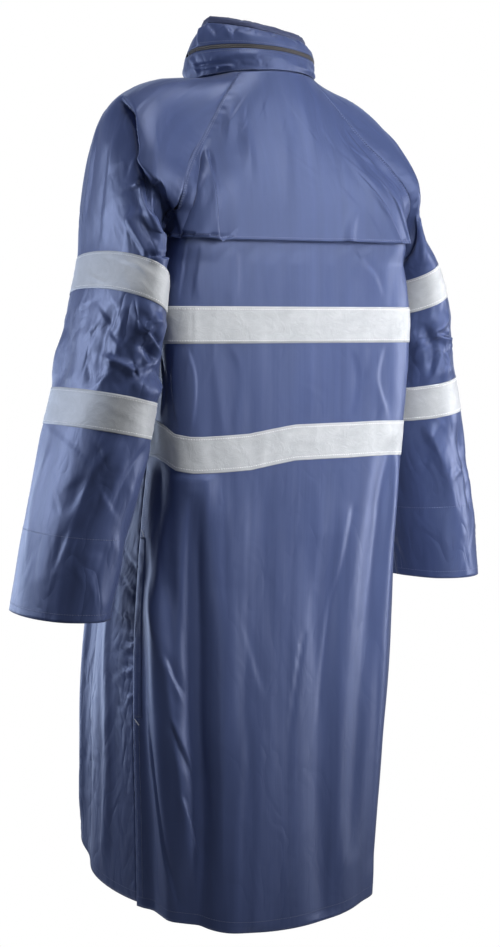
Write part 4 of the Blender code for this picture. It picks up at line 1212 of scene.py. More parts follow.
def overhang_height(panel):
    """Height of the hanging edge, of the groove beside it and of the fold below it."""
    # line, width on its left and right, heights on its left and right, share of it that it fades in over
    steps = (
        (overhang, 0.060, 0.075, (ARM_SIDE, CLOTH_SIDE), 0.12),
        (overhang, 0.014, 0.001, (GROOVE, 0.0), 0.08),
        (turned_under, 0.016, 0.014, (FOLD_ARM_SIDE, FOLD_CLOTH_SIDE), 0.2),
    )
    return sum(
        crease_height(panel, line, left, right, height, EDGE_ROUNDING, (fade, 0.0))
        for line, left, right, height, fade in steps
    )


edge_length = np.linalg.norm(np.diff(overhang, axis=0), axis=1).sum()
print("the shoulder's edge is", round(float(edge_length), 3), "m long")

# %% [markdown]
# The yoke's lower edge is loose in the middle, so it stands off the back there. It is pulled down and out
# at two places, and a notch between them is where its sharp fold ends. Proportional editing could pull
# these out by hand. As smooth bumps with a place and a width, they fade up the cloth in the same way and
# can be tuned.

# %% Yoke
YOKE_FLARE = 0.004
YOKE_SEWN_SHARE = 0.25
LIP = 0.0007
# place and width of the two pulled spots and of the notch
PULLED_LEFT, PULLED_RIGHT, NOTCH = (0.44, 0.10), (-0.16, 0.06), (0.295, 0.035)
PULL_OUT = 0.0045
PULL_DOWN = 0.0026


def swell(place, width):
    """A smooth bump across the yoke."""
    return np.exp(-(((yoke.places - place) / width) ** 2))


middle = np.clip((1 - np.abs(yoke.places)) / YOKE_SEWN_SHARE, 0, 1)
drop = np.clip((yoke_rows - ROW_YOKE_LOOSE) / (ROW_YOKE_EDGE - ROW_YOKE_LOOSE), 0, 1)[:, None]
pulled = swell(*PULLED_LEFT) + 0.5 * swell(*PULLED_RIGHT)
flare = YOKE_FLARE * drop * middle + PULL_OUT * drop**3 * pulled
yoke.grid[..., 2] -= PULL_DOWN * drop**4 * (swell(*NOTCH) - 0.6 * pulled)
lip = LIP * np.clip((yoke_rows - ROW_YOKE_EDGE + 0.07) / 0.03, 0, 1)[:, None]
small = scatter_creases(5, 34, (-0.9, 0.9), (0.3, 4.8), -0.05, 1.0, 0.7, 0.10)
height = flare + lip + lay_creases(yoke, YOKE_CREASES + small) + overhang_height(yoke)
yoke.raise_by(WALL / 2 + height + seam_groove(yoke))
yoke.crush[:] = 0.10
make_cloth("yoke_cloth", yoke, ["back_yoke"], "hung")

# %% [markdown]
# ## Fronts
#
# Each front runs from the closing to the side seam. Its edge sinks at the pocket mouth, and the slit
# gapes between its bartacks. A Boolean could cut the slit, but it would leave ragged faces on such thin
# cloth. The slit lies in the seam, so drawing the front's own edge back by a few millimetres opens it
# cleanly.

# %% Creases of the fronts
FRONT_CREASES = {
    "left": [
        (((1.10, 11.6), (1.14, 12.8), (1.12, 14.4), (1.16, 15.9)), 12, 16, 4.0, 2.0, 0.3, 0.1),
        (((1.24, 11.8), (1.28, 13.4), (1.30, 15.9)), 14, 12, -5.0, 2.5, 0.3, 0.1),
        (((1.00, 12.35), (1.05, 12.25), (1.11, 12.10)), 5, 8, (3.0, -4.0), 0.7, 0.0, 0.5),
        (((1.00, 12.62), (1.05, 12.50), (1.12, 12.30)), 6, 9, (4.0, -4.0), 0.7, 0.0, 0.5),
        (((1.00, 12.88), (1.06, 12.85), (1.13, 12.72)), 5, 8, (3.0, -3.0), 0.7, 0.0, 0.5),
        (((1.00, 13.10), (1.04, 13.20), (1.10, 13.40)), 7, 6, (-3.0, 4.0), 0.7, 0.0, 0.5),
        (((1.00, 13.38), (1.06, 13.52), (1.13, 13.80)), 6, 8, (-3.0, 3.0), 0.7, 0.0, 0.5),
        (((1.00, 13.70), (1.04, 13.90), (1.07, 14.20)), 5, 7, (-2.0, 3.0), 0.7, 0.1, 0.5),
        (((1.40, 11.4), (1.42, 13.2), (1.46, 15.9)), 20, 14, 4.0, 3.0, 0.4, 0.1),
        (((1.72, 11.2), (1.70, 13.2), (1.66, 15.9)), 18, 22, -4.0, 4.0, 0.4, 0.1),
        (((1.50, 2.0), (1.44, 3.4), (1.36, 4.8)), 14, 18, 2.4, 2.0, 0.4, 0.4),
        (((1.20, 4.6), (1.34, 5.4), (1.46, 6.6)), 10, 14, 2.4, 1.5, 0.4, 0.4),
        (((1.60, 8.2), (1.56, 9.0), (1.60, 9.8)), 14, 16, 2.0, 2.5, 0.3, 0.3),
        (((1.25, 8.2), (1.30, 9.1), (1.26, 9.8)), 12, 14, 2.2, 2.0, 0.3, 0.3),
    ],
    "right": [
        (((-1.12, 11.4), (-1.15, 13.0), (-1.13, 14.6), (-1.18, 15.9)), 16, 12, 4.0, 2.0, 0.3, 0.1),
        (((-1.30, 11.8), (-1.33, 13.4), (-1.36, 15.9)), 12, 18, -5.0, 2.5, 0.3, 0.1),
        (((-1.48, 11.2), (-1.50, 13.2), (-1.54, 15.9)), 14, 20, 4.0, 3.0, 0.4, 0.1),
        (((-1.76, 11.4), (-1.74, 13.2), (-1.70, 15.9)), 22, 18, -4.0, 4.0, 0.4, 0.1),
        (((-1.46, 1.8), (-1.42, 3.2), (-1.36, 4.6)), 18, 14, 2.4, 2.0, 0.4, 0.4),
        (((-1.22, 4.8), (-1.34, 5.6), (-1.50, 6.6)), 14, 10, 2.4, 1.5, 0.4, 0.4),
        (((-1.58, 8.2), (-1.55, 9.0), (-1.60, 9.8)), 16, 14, 2.0, 2.5, 0.3, 0.3),
    ],
}
print("creases of the fronts:", {side: len(creases) for side, creases in FRONT_CREASES.items()})


# %% Fronts
MOUTH_DEPTH = 0.006
MOUTH_SHARE = 0.12
SLIT_GAP = 0.0040
SLIT_REACH = 0.022
HALF_FRONT = 0.26


def pocket_sink(rows, places):
    """How deep the cloth sinks beside the pocket mouth, in uneven waves along it."""
    along = np.clip((rows - ROWS_POCKET[0]) / (ROWS_POCKET[1] - ROWS_POCKET[0]), 0, 1)
    edge = np.clip((MOUTH_SHARE - np.abs(np.abs(places) - 1)) / MOUTH_SHARE, 0, 1)
    gape = 1 + 0.45 * np.sin(along * 23.0) * np.sin(along * 61.0 + 0.6)
    return MOUTH_DEPTH * (np.sin(math.pi * along) * gape)[:, None] * edge[None, :] ** 2


def open_slit(front, side):
    """Draw the front's edge back from the side seam along the pocket's slit."""
    open_share = np.clip((front.rows - ROWS_POCKET[0] - 0.05) / 1.5, 0, 1)
    waver = 0.6 + 0.4 * np.sin(34 * open_share + np.sin(11 * open_share))
    gap = SLIT_GAP * np.sin(math.pi * open_share) ** 0.5 * waver
    inward = np.gradient(front.grid, axis=1) * (-1 if side == "left" else 1)
    inward /= np.linalg.norm(inward, axis=2, keepdims=True)
    from_seam = front.across[:, -1:] - front.across if side == "left" else front.across
    near = np.clip(1 - from_seam / SLIT_REACH, 0, 1) ** 2
    front.grid += inward * (gap[:, None] * near)[..., None]
    front.measure()


front_rows = spaced_rows(heights["body"], 0.0, ROW_HEM, FRONT_STEPS[0], TAPE_EDGES, FRONT_FINE)
fronts = {}
for side, way in (("left", 1), ("right", -1)):
    shares = spaced_places(HALF_FRONT, FRONT_STEPS[1])
    grid = body_half(FRONT, side, -1, front_rows, np.tile(shares, (len(front_rows), 1)))
    places = 2 - shares
    if side == "right":
        grid = (grid * (-1, 1, 1))[:, ::-1]
        places = -places[::-1]
    pull_lower_tape(grid, front_rows, places)
    front = Panel(grid, front_rows, places)
    front.raise_by(relief(BODY_FOLDS, places, front_rows))
    low, high = sorted((1.05 * way, 1.95 * way))
    small = scatter_creases(11 + way, 40, (low, high), (0.6, 11.2), -0.05, 1.0, 0.9, 0.15)
    small += scatter_creases(21 + way, 40, (low, high), (11.4, 15.8), 0.02, 1.5, 1.4, 0.06)
    height = lay_creases(front, FRONT_CREASES[side] + small) + seam_groove(front)
    front.raise_by(WALL / 2 + height - pocket_sink(front_rows, places))
    open_slit(front, side)
    fronts[side] = front
    make_cloth(f"front_cloth_{side}", front, [f"front_{side}"])

# %% [markdown]
# ## Raglan sleeves
#
# A raglan sleeve runs up to the neck. Over the left arm the shoulder cloth hangs past the arm in one deep
# fold that ends under the arm, and star-shaped crumples lie at the elbow. A cloth simulation could crush
# it, but not where the real one is crushed. Here a few creases that meet in one point make each star, and
# facets from crossed waves fill in between.

# %% Creases of the sleeves
SLEEVE_CREASES = {
    "left": [
        (((0.34, 4.72), (0.43, 4.93), (0.49, 5.16), (0.55, 5.40), (0.60, 5.65), (0.63, 6.05)),
         7, 18, -11.0, 0.8, 0.05, 0.2),
        (((0.33, 4.80), (0.37, 5.09), (0.42, 5.38), (0.47, 5.76), (0.53, 6.01), (0.61, 6.30)),
         12, 8, 7.0, 1.0, 0.05, 0.3),
        (((0.33, 4.90), (0.33, 5.40), (0.37, 5.85), (0.46, 6.33)), 30, 9, -5.0, 1.2, 0.1, 0.4),
        (((-0.15, 2.9), (-0.10, 4.2), (-0.11, 5.5), (-0.19, 6.8)), 20, 18, (2.4, -1.6), 2.5, 0.4, 0.3),
        (((0.10, 3.3), (0.06, 4.8), (0.03, 6.1), (0.00, 7.0)), 16, 22, (-2.0, 1.4), 3.0, 0.3, 0.2),
        (((0.20, 5.9), (0.25, 6.3), (0.35, 6.95)), 8, 16, 6.0, 1.0, 0.3, 0.1),
        (((0.66, 6.4), (0.50, 6.75), (0.35, 6.95)), 8, 12, (-5.0, 4.0), 0.8, 0.2, 0.1),
        (((0.46, 8.63), (0.39, 8.51), (0.33, 8.3)), 9, 13, 6.0, 0.7, 0.0, 0.6),
        (((0.46, 8.63), (0.61, 8.77), (0.76, 8.95)), 12, 8, (5.0, -3.0), 0.7, 0.0, 0.5),
        (((0.46, 8.63), (0.50, 8.40), (0.65, 8.15)), 9, 12, 6.0, 0.7, 0.0, 0.5),
        (((0.68, 9.04), (0.50, 8.97), (0.34, 8.95)), 11, 8, -6.5, 1.0, 0.3, 0.4),
        (((0.41, 9.46), (0.55, 9.25), (0.70, 9.1)), 9, 12, 6.4, 0.7, 0.1, 0.5),
        (((0.41, 9.46), (0.28, 9.36), (0.12, 9.3)), 8, 11, 6.0, 0.8, 0.0, 0.5),
        (((0.20, 8.2), (0.16, 9.0), (0.18, 9.9)), 14, 10, -3.0, 2.0, 0.3, 0.3),
        (((-0.20, 8.2), (-0.16, 9.1), (-0.22, 9.9)), 14, 18, 3.0, 3.0, 0.3, 0.3),
        (((0.45, 11.05), (0.30, 11.9), (0.26, 13.0)), 12, 24, 4.0, 1.6, 0.2, 0.4),
        (((0.70, 11.05), (0.55, 11.8), (0.48, 12.8)), 11, 20, -4.0, 1.6, 0.2, 0.4),
        (((0.00, 11.2), (-0.04, 12.4), (0.00, 13.6)), 14, 16, 2.8, 3.0, 0.3, 0.3),
        (((-0.40, 2.6), (-0.46, 4.0), (-0.52, 5.6)), 16, 12, 3.6, 2.0, 0.3, 0.4),
        (((-0.50, 8.3), (-0.62, 8.9), (-0.48, 9.5)), 10, 14, 3.6, 1.0, 0.2, 0.4),
        (((-0.60, 11.1), (-0.50, 12.2), (-0.56, 13.4)), 14, 16, -3.6, 2.5, 0.3, 0.4),
    ],
    "right": [
        (((0.40, 2.4), (0.52, 3.2), (0.64, 4.2), (0.70, 5.2)), 8, 26, 5.0, 1.5, 0.3, 0.3),
        (((0.30, 3.0), (0.42, 4.0), (0.50, 5.2)), 24, 8, -5.0, 2.0, 0.3, 0.3),
        (((0.05, 3.0), (0.06, 4.4), (0.02, 5.8)), 14, 18, 3.6, 2.5, 0.3, 0.3),
        (((0.56, 8.70), (0.46, 8.50), (0.40, 8.2)), 9, 12, 6.0, 0.7, 0.0, 0.5),
        (((0.56, 8.70), (0.68, 8.90), (0.76, 9.3)), 9, 12, 6.0, 0.7, 0.0, 0.5),
        (((0.56, 8.70), (0.42, 8.95), (0.26, 9.1)), 11, 8, (5.0, -4.0), 0.7, 0.0, 0.5),
        (((0.70, 8.3), (0.60, 9.1), (0.66, 9.9)), 12, 9, -6.0, 1.4, 0.3, 0.3),
        (((0.30, 8.2), (0.24, 9.0), (0.30, 9.8)), 12, 14, 3.0, 2.0, 0.3, 0.3),
        (((0.70, 11.05), (0.60, 12.0), (0.52, 13.4)), 12, 16, 5.6, 1.6, 0.2, 0.4),
        (((0.40, 11.1), (0.34, 12.2), (0.36, 13.5)), 14, 14, -5.6, 2.0, 0.3, 0.3),
        (((-0.40, 2.8), (-0.46, 4.2), (-0.50, 5.7)), 14, 16, 3.6, 2.0, 0.3, 0.4),
        (((-0.52, 8.3), (-0.60, 9.0), (-0.50, 9.7)), 14, 10, 3.6, 1.0, 0.2, 0.4),
        (((-0.50, 11.1), (-0.56, 12.2), (-0.50, 13.4)), 16, 14, -3.6, 2.5, 0.3, 0.4),
    ],
}
print("creases of the sleeves:", {side: len(creases) for side, creases in SLEEVE_CREASES.items()})

# %% Sleeves
# seed, width across and down of the facets, height, rows that they lie between
CRUSHED = [
    (3, (0.070, 0.080), 0.0050, (7.9, 10.1)),
    (7, (0.030, 0.036), 0.0008, (7.9, 10.1)),
    (4, (0.050, 0.200), 0.0018, (10.9, 13.1)),
    (5, (0.060, 0.110), 0.0016, (12.8, 14.3)),
    (6, (0.050, 0.120), 0.0014, (5.4, 7.2)),
]
CRUSH_ROWS = (0, 4, 6.5, 7.5, 8.5, 9.5, 10.5, 11.5, 14)
CRUSH = (0.1, 0.15, 0.5, 0.1, 0.9, 0.9, 0.2, 0.35, 0.5)

for side, sleeve in sleeves.items():
    seed = 40 if side == "left" else 60
    small = scatter_creases(seed, 40, (-0.85, 0.85), (1.0, 6.4), 0.0, 1.4, 0.7, 0.12)
    small += scatter_creases(seed + 1, 36, (-0.8, 0.8), (8.1, 9.9), 0.1, 0.7, 1.6)
    small += scatter_creases(seed + 2, 30, (-0.85, 0.85), (11.0, 13.8), 0.1, 1.0, 1.4)
    crushed = sum(crumple(sleeve, seed + more, size, tall, span) for more, size, tall, span in CRUSHED)
    rear = 0.3 + 0.7 * np.clip((sleeve.places - 0.05) / 0.3, 0, 1)
    crushed *= rear * (1.0 if side == "left" else 0.6)
    sleeve.crush = rear * np.interp(sleeve_rows, CRUSH_ROWS, CRUSH)[:, None]
    height = lay_creases(sleeve, SLEEVE_CREASES[side] + small) + crushed + seam_groove(sleeve)
    if side == "left":
        height += overhang_height(sleeve)
    sleeve.raise_by(WALL / 2 + height)
    parts = [f"{part}_{half}" for part in ("upper", "middle", "lower") for half in ("front", "back")]
    make_cloth(f"sleeve_cloth_{side}", sleeve, [f"sleeve_{part}_{side}" for part in parts])

# %% [markdown]
# ## Reflective tapes
#
# Two tapes run round the body and two round each sleeve, sewn on along both edges. Flat strips with a
# Shrinkwrap modifier could follow the cloth, but they would slip off the seams. Each tape is made from
# the points of the cloth under it, moved out, so it creases with the cloth and adds a few crinkles of its
# own.

# %% Tapes
TAPE_LIFT = 0.0009
TAPE_THICKNESS = 0.0008
# it lies flat this far in from its edges; its crinkles grow over this much more and sink no deeper than this
TAPE_SEWN = 0.003
TAPE_EASE = 0.008
TAPE_SINK = 0.0002


def tape_on(kind, where, panel, rows, seed):
    """A tape over the stretch of a panel between two rows; its node is called kind_where."""
    inside = (panel.rows > rows[0] - 1e-6) & (panel.rows < rows[1] + 1e-6)
    grid = panel.grid[inside] + panel.normals[inside] * TAPE_LIFT
    tape = Panel(grid, panel.rows[inside], panel.places)
    low, high = sorted((tape.places[0], tape.places[-1]))
    small = scatter_creases(seed, 26, (low, high), rows, 0.5, 0.5, 0.8)
    edge = np.minimum(tape.down, tape.down[-1:] - tape.down)
    free = np.clip((edge - TAPE_SEWN) / TAPE_EASE, 0, 1)
    tape.raise_by(np.maximum(lay_creases(tape, small), -TAPE_SINK) * free)
    looks = {"thickness": TAPE_THICKNESS, "slot": "reflective_tape", "finishes": (tape_grey, tape_grey)}
    make_cloth(f"{kind}_cloth_{where}", tape, [f"{kind}_{where}"], **looks)
    return tape


LEVELS = {"upper": (ROWS_UPPER_TAPE, 70), "lower": (ROWS_LOWER_TAPE, 80)}
tapes = []
for level, (rows, seed) in LEVELS.items():
    tapes.append(tape_on("tape", f"{level}_back", back, rows, seed))
    for number, side in enumerate(("left", "right"), 1):
        tapes.append(tape_on("tape", f"{level}_front_{side}", fronts[side], rows, seed + number))
        tapes.append(tape_on("sleeve_tape", f"{level}_{side}", sleeves[side], rows, seed + 3 + number))

# %% [markdown]
# ## Collar
#
# The stand collar is two bands with a zip between them, rolled over at the top. The hood is folded away
# inside, so the collar is lumpy: crisp facets above the zip and a crushed fold at the neck seam. It could
# be spun from one outline, but it is neither round nor level, so each ring has its own centre, tilt and
# drop. Its places are degrees, 0 at the centre back and growing towards the left.

# %% Rings of the collar
# radius, centre_y, z, tilt, front_drop: tilt lifts the left side, front_drop lowers the front
COLLAR_SEAM = (0.0888, 0.000, -0.0026, 0.0000, 0.018)
COLLAR_LOW = (0.0925, -0.004, 0.0120, 0.0060, 0.018)
COLLAR_ZIP = (0.0905, -0.004, 0.0285, 0.0075, 0.018)
COLLAR_HIGH = (0.0845, 0.000, 0.0450, 0.0120, 0.017)
COLLAR_TOP = (0.0745, 0.003, 0.0555, 0.0155, 0.016)
COLLAR_ROLL = [
    (0.0742, 0.003, 0.0563, 0.0155, 0.016),
    (0.0732, 0.003, 0.0620, 0.0155, 0.016),
    (0.0705, 0.003, 0.0650, 0.0155, 0.016),
    (0.0670, 0.003, 0.0646, 0.0155, 0.016),
    (0.0650, 0.002, 0.0590, 0.0150, 0.016),
    (0.0675, 0.000, 0.0420, 0.0110, 0.017),
    (0.0730, -0.004, 0.0220, 0.0075, 0.018),
    (0.0775, -0.002, -0.0030, 0.0000, 0.018),
]
# the hood inside pushes the collar flat behind and square at two corners, most of all at its top
# columns: place, push outwards and rise, the last two in millimetres
COLLAR_LUMPS = np.array([
    (-180, 0, 0), (-75, 0, 0), (-60, 3, 1), (-40, 0, -1), (-15, -4, -6), (15, -6, -8), (45, -4, -6),
    (68, 1, -2), (80, 4, 1), (92, 2, 0), (108, 0, -6), (125, 0, -10), (150, 0, -5), (180, 0, 0),
])


def collar_ring(row, degrees):
    """The points of one ring at these places."""
    radius, centre_y, z, tilt, front_drop = row
    angle = np.radians(degrees)
    share = min(max(z / COLLAR_TOP[2], 0.0), 1.0)
    place, push, rise = COLLAR_LUMPS.T
    radius = radius + (0.3 + 0.7 * share) * np.interp(degrees, place, push / 1000)
    height = z + tilt * np.sin(angle) - front_drop * (1 - np.cos(angle)) / 2
    height = height + share**2 * np.interp(degrees, place, rise / 1000)
    return points_of(radius * np.sin(angle), centre_y + radius * np.cos(angle), height)


print("the collar is", round(COLLAR_TOP[2] - COLLAR_SEAM[2], 3), "m tall behind")

# %% Creases of the collar
# rows are 0 at the top of a band and 2 at its foot
UPPER_CREASES = [
    (((96, 0.1), (84, 0.9), (78, 2.0)), 7, 10, 2.6, 0.7, 0.1, 0.2),
    (((78, 0.0), (66, 0.8), (62, 1.5)), 6, 9, -2.4, 0.8, 0.1, 0.4),
    (((60, 0.1), (52, 0.8), (47, 1.5)), 9, 5, 2.4, 0.6, 0.1, 0.4),
    (((46, 0.5), (38, 0.9), (28, 1.1)), 6, 6, 1.2, 0.8, 0.3, 0.4),
    (((8, 0.0), (6, 0.5), (4, 1.0)), 4, 6, -2.6, 0.6, 0.0, 0.5),
    (((-6, 0.3), (-16, 0.8), (-24, 1.4)), 7, 7, 1.5, 0.8, 0.3, 0.4),
    (((-26, 0.2), (-34, 0.7), (-36, 1.3)), 6, 8, 1.8, 0.7, 0.2, 0.4),
    (((-44, 0.3), (-52, 0.9), (-50, 1.5)), 7, 5, -1.6, 0.8, 0.3, 0.4),
    (((-70, 0.2), (-78, 0.9), (-76, 1.6)), 8, 6, 1.8, 0.8, 0.2, 0.4),
    (((-110, 0.2), (-118, 1.0), (-112, 1.7)), 8, 10, 2.0, 1.0, 0.2, 0.3),
    (((-150, 0.2), (-144, 1.0), (-148, 1.7)), 9, 7, -1.8, 1.0, 0.2, 0.3),
    (((120, 0.2), (128, 1.0), (124, 1.7)), 9, 8, 2.0, 1.0, 0.2, 0.3),
    (((152, 0.2), (146, 1.0), (150, 1.7)), 8, 8, -1.8, 1.0, 0.2, 0.3),
]
LOWER_CREASES = [
    (((70, 1.1), (40, 0.75), (5, 0.85), (-20, 1.1)), 6, 8, 1.6, 1.6, 0.3, 0.4),
    (((88, 1.25), (74, 1.35), (58, 1.42), (40, 1.6)), 5, 6, (3.0, -4.5), 0.5, 0.2, 0.3),
    (((62, 1.8), (52, 1.6), (42, 1.72)), 4, 5, 4.0, 0.5, 0.3, 0.3),
    (((40, 1.55), (24, 1.75), (4, 1.85)), 4, 5, -1.4, 0.8, 0.3, 0.3),
    (((2, 1.2), (-22, 1.45), (-50, 1.4), (-80, 1.3)), 6, 6, 2.0, 1.0, 0.3, 0.3),
    (((-30, 0.6), (-52, 0.95), (-72, 1.0)), 6, 6, -1.8, 1.2, 0.4, 0.3),
    (((92, 0.3), (84, 1.0), (80, 1.8)), 7, 6, 2.4, 0.8, 0.2, 0.2),
    (((-100, 0.4), (-112, 1.1), (-106, 1.8)), 8, 7, 2.0, 1.0, 0.3, 0.3),
    (((118, 0.4), (130, 1.2), (124, 1.8)), 7, 8, 2.0, 1.0, 0.3, 0.3),
    (((160, 1.5), (130, 1.3), (104, 1.5)), 6, 6, -2.0, 1.0, 0.3, 0.3),
    (((-160, 1.4), (-130, 1.5), (-108, 1.3)), 6, 6, -2.0, 1.0, 0.3, 0.3),
]
print("creases of the collar:", len(UPPER_CREASES) + len(LOWER_CREASES))

# %% [markdown]
# The zip needs an open slot. Cutting it out of one tall band would leave loose edges, so the collar is
# built as two outer bands whose edges part where the zip runs and meet past its ends. A third panel rolls
# over the top and lines the inside.

# %% Collar bands
ZIP_HALF_WIDTH = 0.0030
ZIP_CLOSED = 0.0002
ZIP_END_DEG = 98.0
ZIP_CLOSE_DEG = 10.0
BAND_HOLD = 0.004
# the bands nearly meet at the centre front
BAND_END_DEG = 179.7
BAND_COLUMNS = 190
# strewn creases stay off the closing at the centre front
AROUND = (-170, 170)
fineness = 2


def zip_half_width(degrees):
    """The slot for the zip closes past each end of the zip."""
    open_share = np.clip((ZIP_END_DEG + ZIP_CLOSE_DEG - np.abs(degrees)) / ZIP_CLOSE_DEG, 0, 1)
    return ZIP_CLOSED + (ZIP_HALF_WIDTH - ZIP_CLOSED) * open_share


def band(rings, levels, zip_edge=0):
    """A band of the collar as a panel, with the zip's slot cut out of its upper or lower edge."""
    degrees = np.linspace(BAND_END_DEG, -BAND_END_DEG, BAND_COLUMNS * fineness)
    at = np.linspace(0, len(rings) - 1, levels * fineness)
    between = zip(*(smooth_between(column, at / at[-1]) for column in zip(*rings)))
    grid = np.stack([collar_ring(ring, degrees) for ring in between])
    if zip_edge:
        share = at / at[-1] if zip_edge > 0 else 1 - at / at[-1]
        grid[..., 2] += zip_edge * share[:, None] ** 4 * zip_half_width(degrees)
    return Panel(grid, at, degrees)


def outer_band(name, rings, levels, zip_edge, creases, *small):
    """A band beside the zip; its creases stay off its two sewn edges."""
    panel = band(rings, levels, zip_edge)
    edge = np.minimum(panel.down, panel.down[-1:] - panel.down)
    height = lay_creases(panel, creases + scatter_creases(*small))
    panel.raise_by(WALL / 2 + height * np.clip(edge / BAND_HOLD, 0, 1))
    make_cloth(f"collar_cloth_{name}", panel, [f"collar_{name}"], thickness=DOUBLED)
    return panel


upper_rings, lower_rings = (COLLAR_TOP, COLLAR_HIGH, COLLAR_ZIP), (COLLAR_ZIP, COLLAR_LOW, COLLAR_SEAM)
upper = outer_band("upper", upper_rings, 9, 1, UPPER_CREASES, 91, 40, AROUND, (0.2, 1.7), 6.0, 0.8, 1.2)
lower = outer_band("lower", lower_rings, 10, -1, LOWER_CREASES, 95, 44, AROUND, (0.3, 1.8), 10.0, 0.5, 0.8)
roll = band(COLLAR_ROLL[::-1], 12)
roll = Panel(roll.grid[:, ::-1], roll.rows, roll.places[::-1])
small = scatter_creases(97, 34, AROUND, (2.5, 6.6), 3.0, 0.8, 1.0)
roll.raise_by(WALL / 2 + lay_creases(roll, small))
make_cloth("collar_cloth_inner", roll, ["collar_inner"], thickness=DOUBLED, slot="navy_facing")

# %% [markdown]
# ## Stitches
#
# One stitch is a small lozenge of thread. A row of them could be painted on as a texture, but real thread
# stands up and catches the light. A seam is a path of (place, row) pairs: it is measured along the cloth,
# and a copy of the stitch goes down at every pitch, turned along the seam and half sunk in. The copies
# for one kind of seam are one mesh, because thousands of objects would be slow.

# %% One stitch
# length, width and height of a stitch, and the distance from one to the next
STITCH = (0.0026, 0.0007, 0.0005)
PITCH = 0.0036
# where the square tube begins to narrow to its points, as a share of half its length
TUBE_SHARE = 0.62


def lozenge(length, width, tall):
    """A thread-shaped solid along X: a square tube with pointed ends."""
    half, side, up = length / 2, width / 2, tall / 2
    ring = [(-1, -1), (1, -1), (1, 1), (-1, 1)]
    points = [(-half, 0, 0), (half, 0, 0)]
    points += [(x * TUBE_SHARE * half, y * side, z * up) for x in (-1, 1) for y, z in ring]
    faces = []
    for k in range(4):
        n = (k + 1) % 4
        faces += [(0, 2 + n, 2 + k), (1, 6 + k, 6 + n), (2 + k, 2 + n, 6 + n, 6 + k)]
    return np.array(points), faces


print("a stitch has", len(lozenge(1, 1, 1)[1]), "faces")


# %% Where the stitches of a seam go
def walk(panel, path, pitch, lift=0.0):
    """Points, ways and normals at every pitch along a path on a panel."""
    points, normals = panel.spots(*along_path(path, np.linspace(0, 1, 400)), lift)
    length = np.concatenate([[0], np.cumsum(np.linalg.norm(np.diff(points, axis=0), axis=1))])
    stops = np.arange(pitch / 2, length[-1], pitch)

    def at(distance, field):
        return np.stack([np.interp(distance, length, field[:, k]) for k in range(3)], axis=1)

    way = at(stops + pitch / 4, points) - at(stops - pitch / 4, points)
    up = at(stops, normals)
    way /= np.maximum(np.linalg.norm(way, axis=1, keepdims=True), 1e-9)
    return at(stops, points), way, up / np.linalg.norm(up, axis=1, keepdims=True)


print("the left raglan seam takes", len(walk(yoke, ((1.0, 0.1), (1.0, 4.8)), PITCH)[0]), "stitches")


# %% One mesh of stitches
def sew(name, runs, size, finish, across=False):
    """One mesh with a copy of a stitch at every stop of each run, laid along the run or across it."""
    shape, faces = lozenge(*size)
    all_points, all_faces = [], []
    for spots, way, up in runs:
        side = np.cross(up, way)
        side /= np.maximum(np.linalg.norm(side, axis=1, keepdims=True), 1e-9)
        long, wide = (side, way) if across else (way, side)
        placed = spots[:, None] + shape[None, :, :1] * long[:, None] + shape[None, :, 1:2] * wide[:, None]
        placed += shape[None, :, 2:] * np.cross(long, wide)[:, None]
        start = sum(len(p) for p in all_points)
        all_points.append(placed.reshape(-1, 3))
        for k in range(len(spots)):
            all_faces += [tuple(start + k * len(shape) + v for v in face) for face in faces]
    mesh = bpy.data.meshes.new(name)
    mesh.from_pydata(np.concatenate(all_points).tolist(), [], all_faces)
    mesh.materials.append(finish)
    mesh.shade_smooth()
    piece = bpy.data.objects.new(name, mesh)
    bpy.context.scene.collection.objects.link(piece)
    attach(piece, "coat")
    print(name, len(all_faces) // len(faces), "stitches")


print("a stitch is", STITCH[0], "m long and the next one starts", PITCH, "m on")

# %% Stitches of the tapes
TAPE_INSET = 0.0035


def level_run(panel, row):
    """A run of stitches along one row of a panel."""
    return walk(panel, ((panel.places[0], row), (panel.places[-1], row)), PITCH)


def edge_rows(tape):
    """The two rows of stitches that hold a tape down."""
    rise = (tape.rows[-1] - tape.rows[0]) * TAPE_INSET / float(tape.down[-1].mean())
    return tape.rows[0] + rise, tape.rows[-1] - rise


runs = [level_run(tape, row) for tape in tapes for row in edge_rows(tape)]
sew("tape_stitches", runs, STITCH, thread_pale)

# %% [markdown]
# The navy seams: a double row along the raglan and side seams, single rows at the hem, the cuffs, the
# yoke's loose edge and the zip, and a dense bartack wherever a seam takes a pull. All of them use the
# same helper as the tapes, so a seam is no more than its panel and the rows that it runs through.

# %% Navy seams
DOUBLE_ROW = (0.020, 0.045)
# how far above its edge each turned edge is stitched down, in rows
HEM_TURN = 0.115
YOKE_TURN = 0.06
CUFF_TURN = 0.10
ROW_CUFF_SEAM = 12.95


def seam_run(panel, place, *rows):
    """A run of stitches down a panel at one place, through these rows."""
    return walk(panel, [(place, row) for row in rows], PITCH)


runs = [level_run(panel, ROW_HEM - HEM_TURN) for panel in (back, *fronts.values())]
runs.append(level_run(yoke, ROW_YOKE_EDGE - YOKE_TURN))
for side in (1, -1):
    for inset in DOUBLE_ROW:
        runs.append(seam_run(yoke, side * (1 - inset), 0.1, 2.6, 4.8))
        runs.append(seam_run(back, side * (1 - inset), 5.8, 10.0, 15.9))
for sleeve in sleeves.values():
    runs += [level_run(sleeve, row) for row in (ROW_CUFF_SEAM, ROW_CUFF - CUFF_TURN)]
    runs += [seam_run(sleeve, 1 - inset, 6.3, 10.0, 13.9) for inset in DOUBLE_ROW]
    runs.append(seam_run(sleeve, -0.975, 0.3, 3.0, 5.8))
runs += [level_run(panel, row) for panel, row in ((upper, 1.72), (lower, 0.28), (lower, 1.93))]
sew("navy_stitches", runs, STITCH, thread_navy)

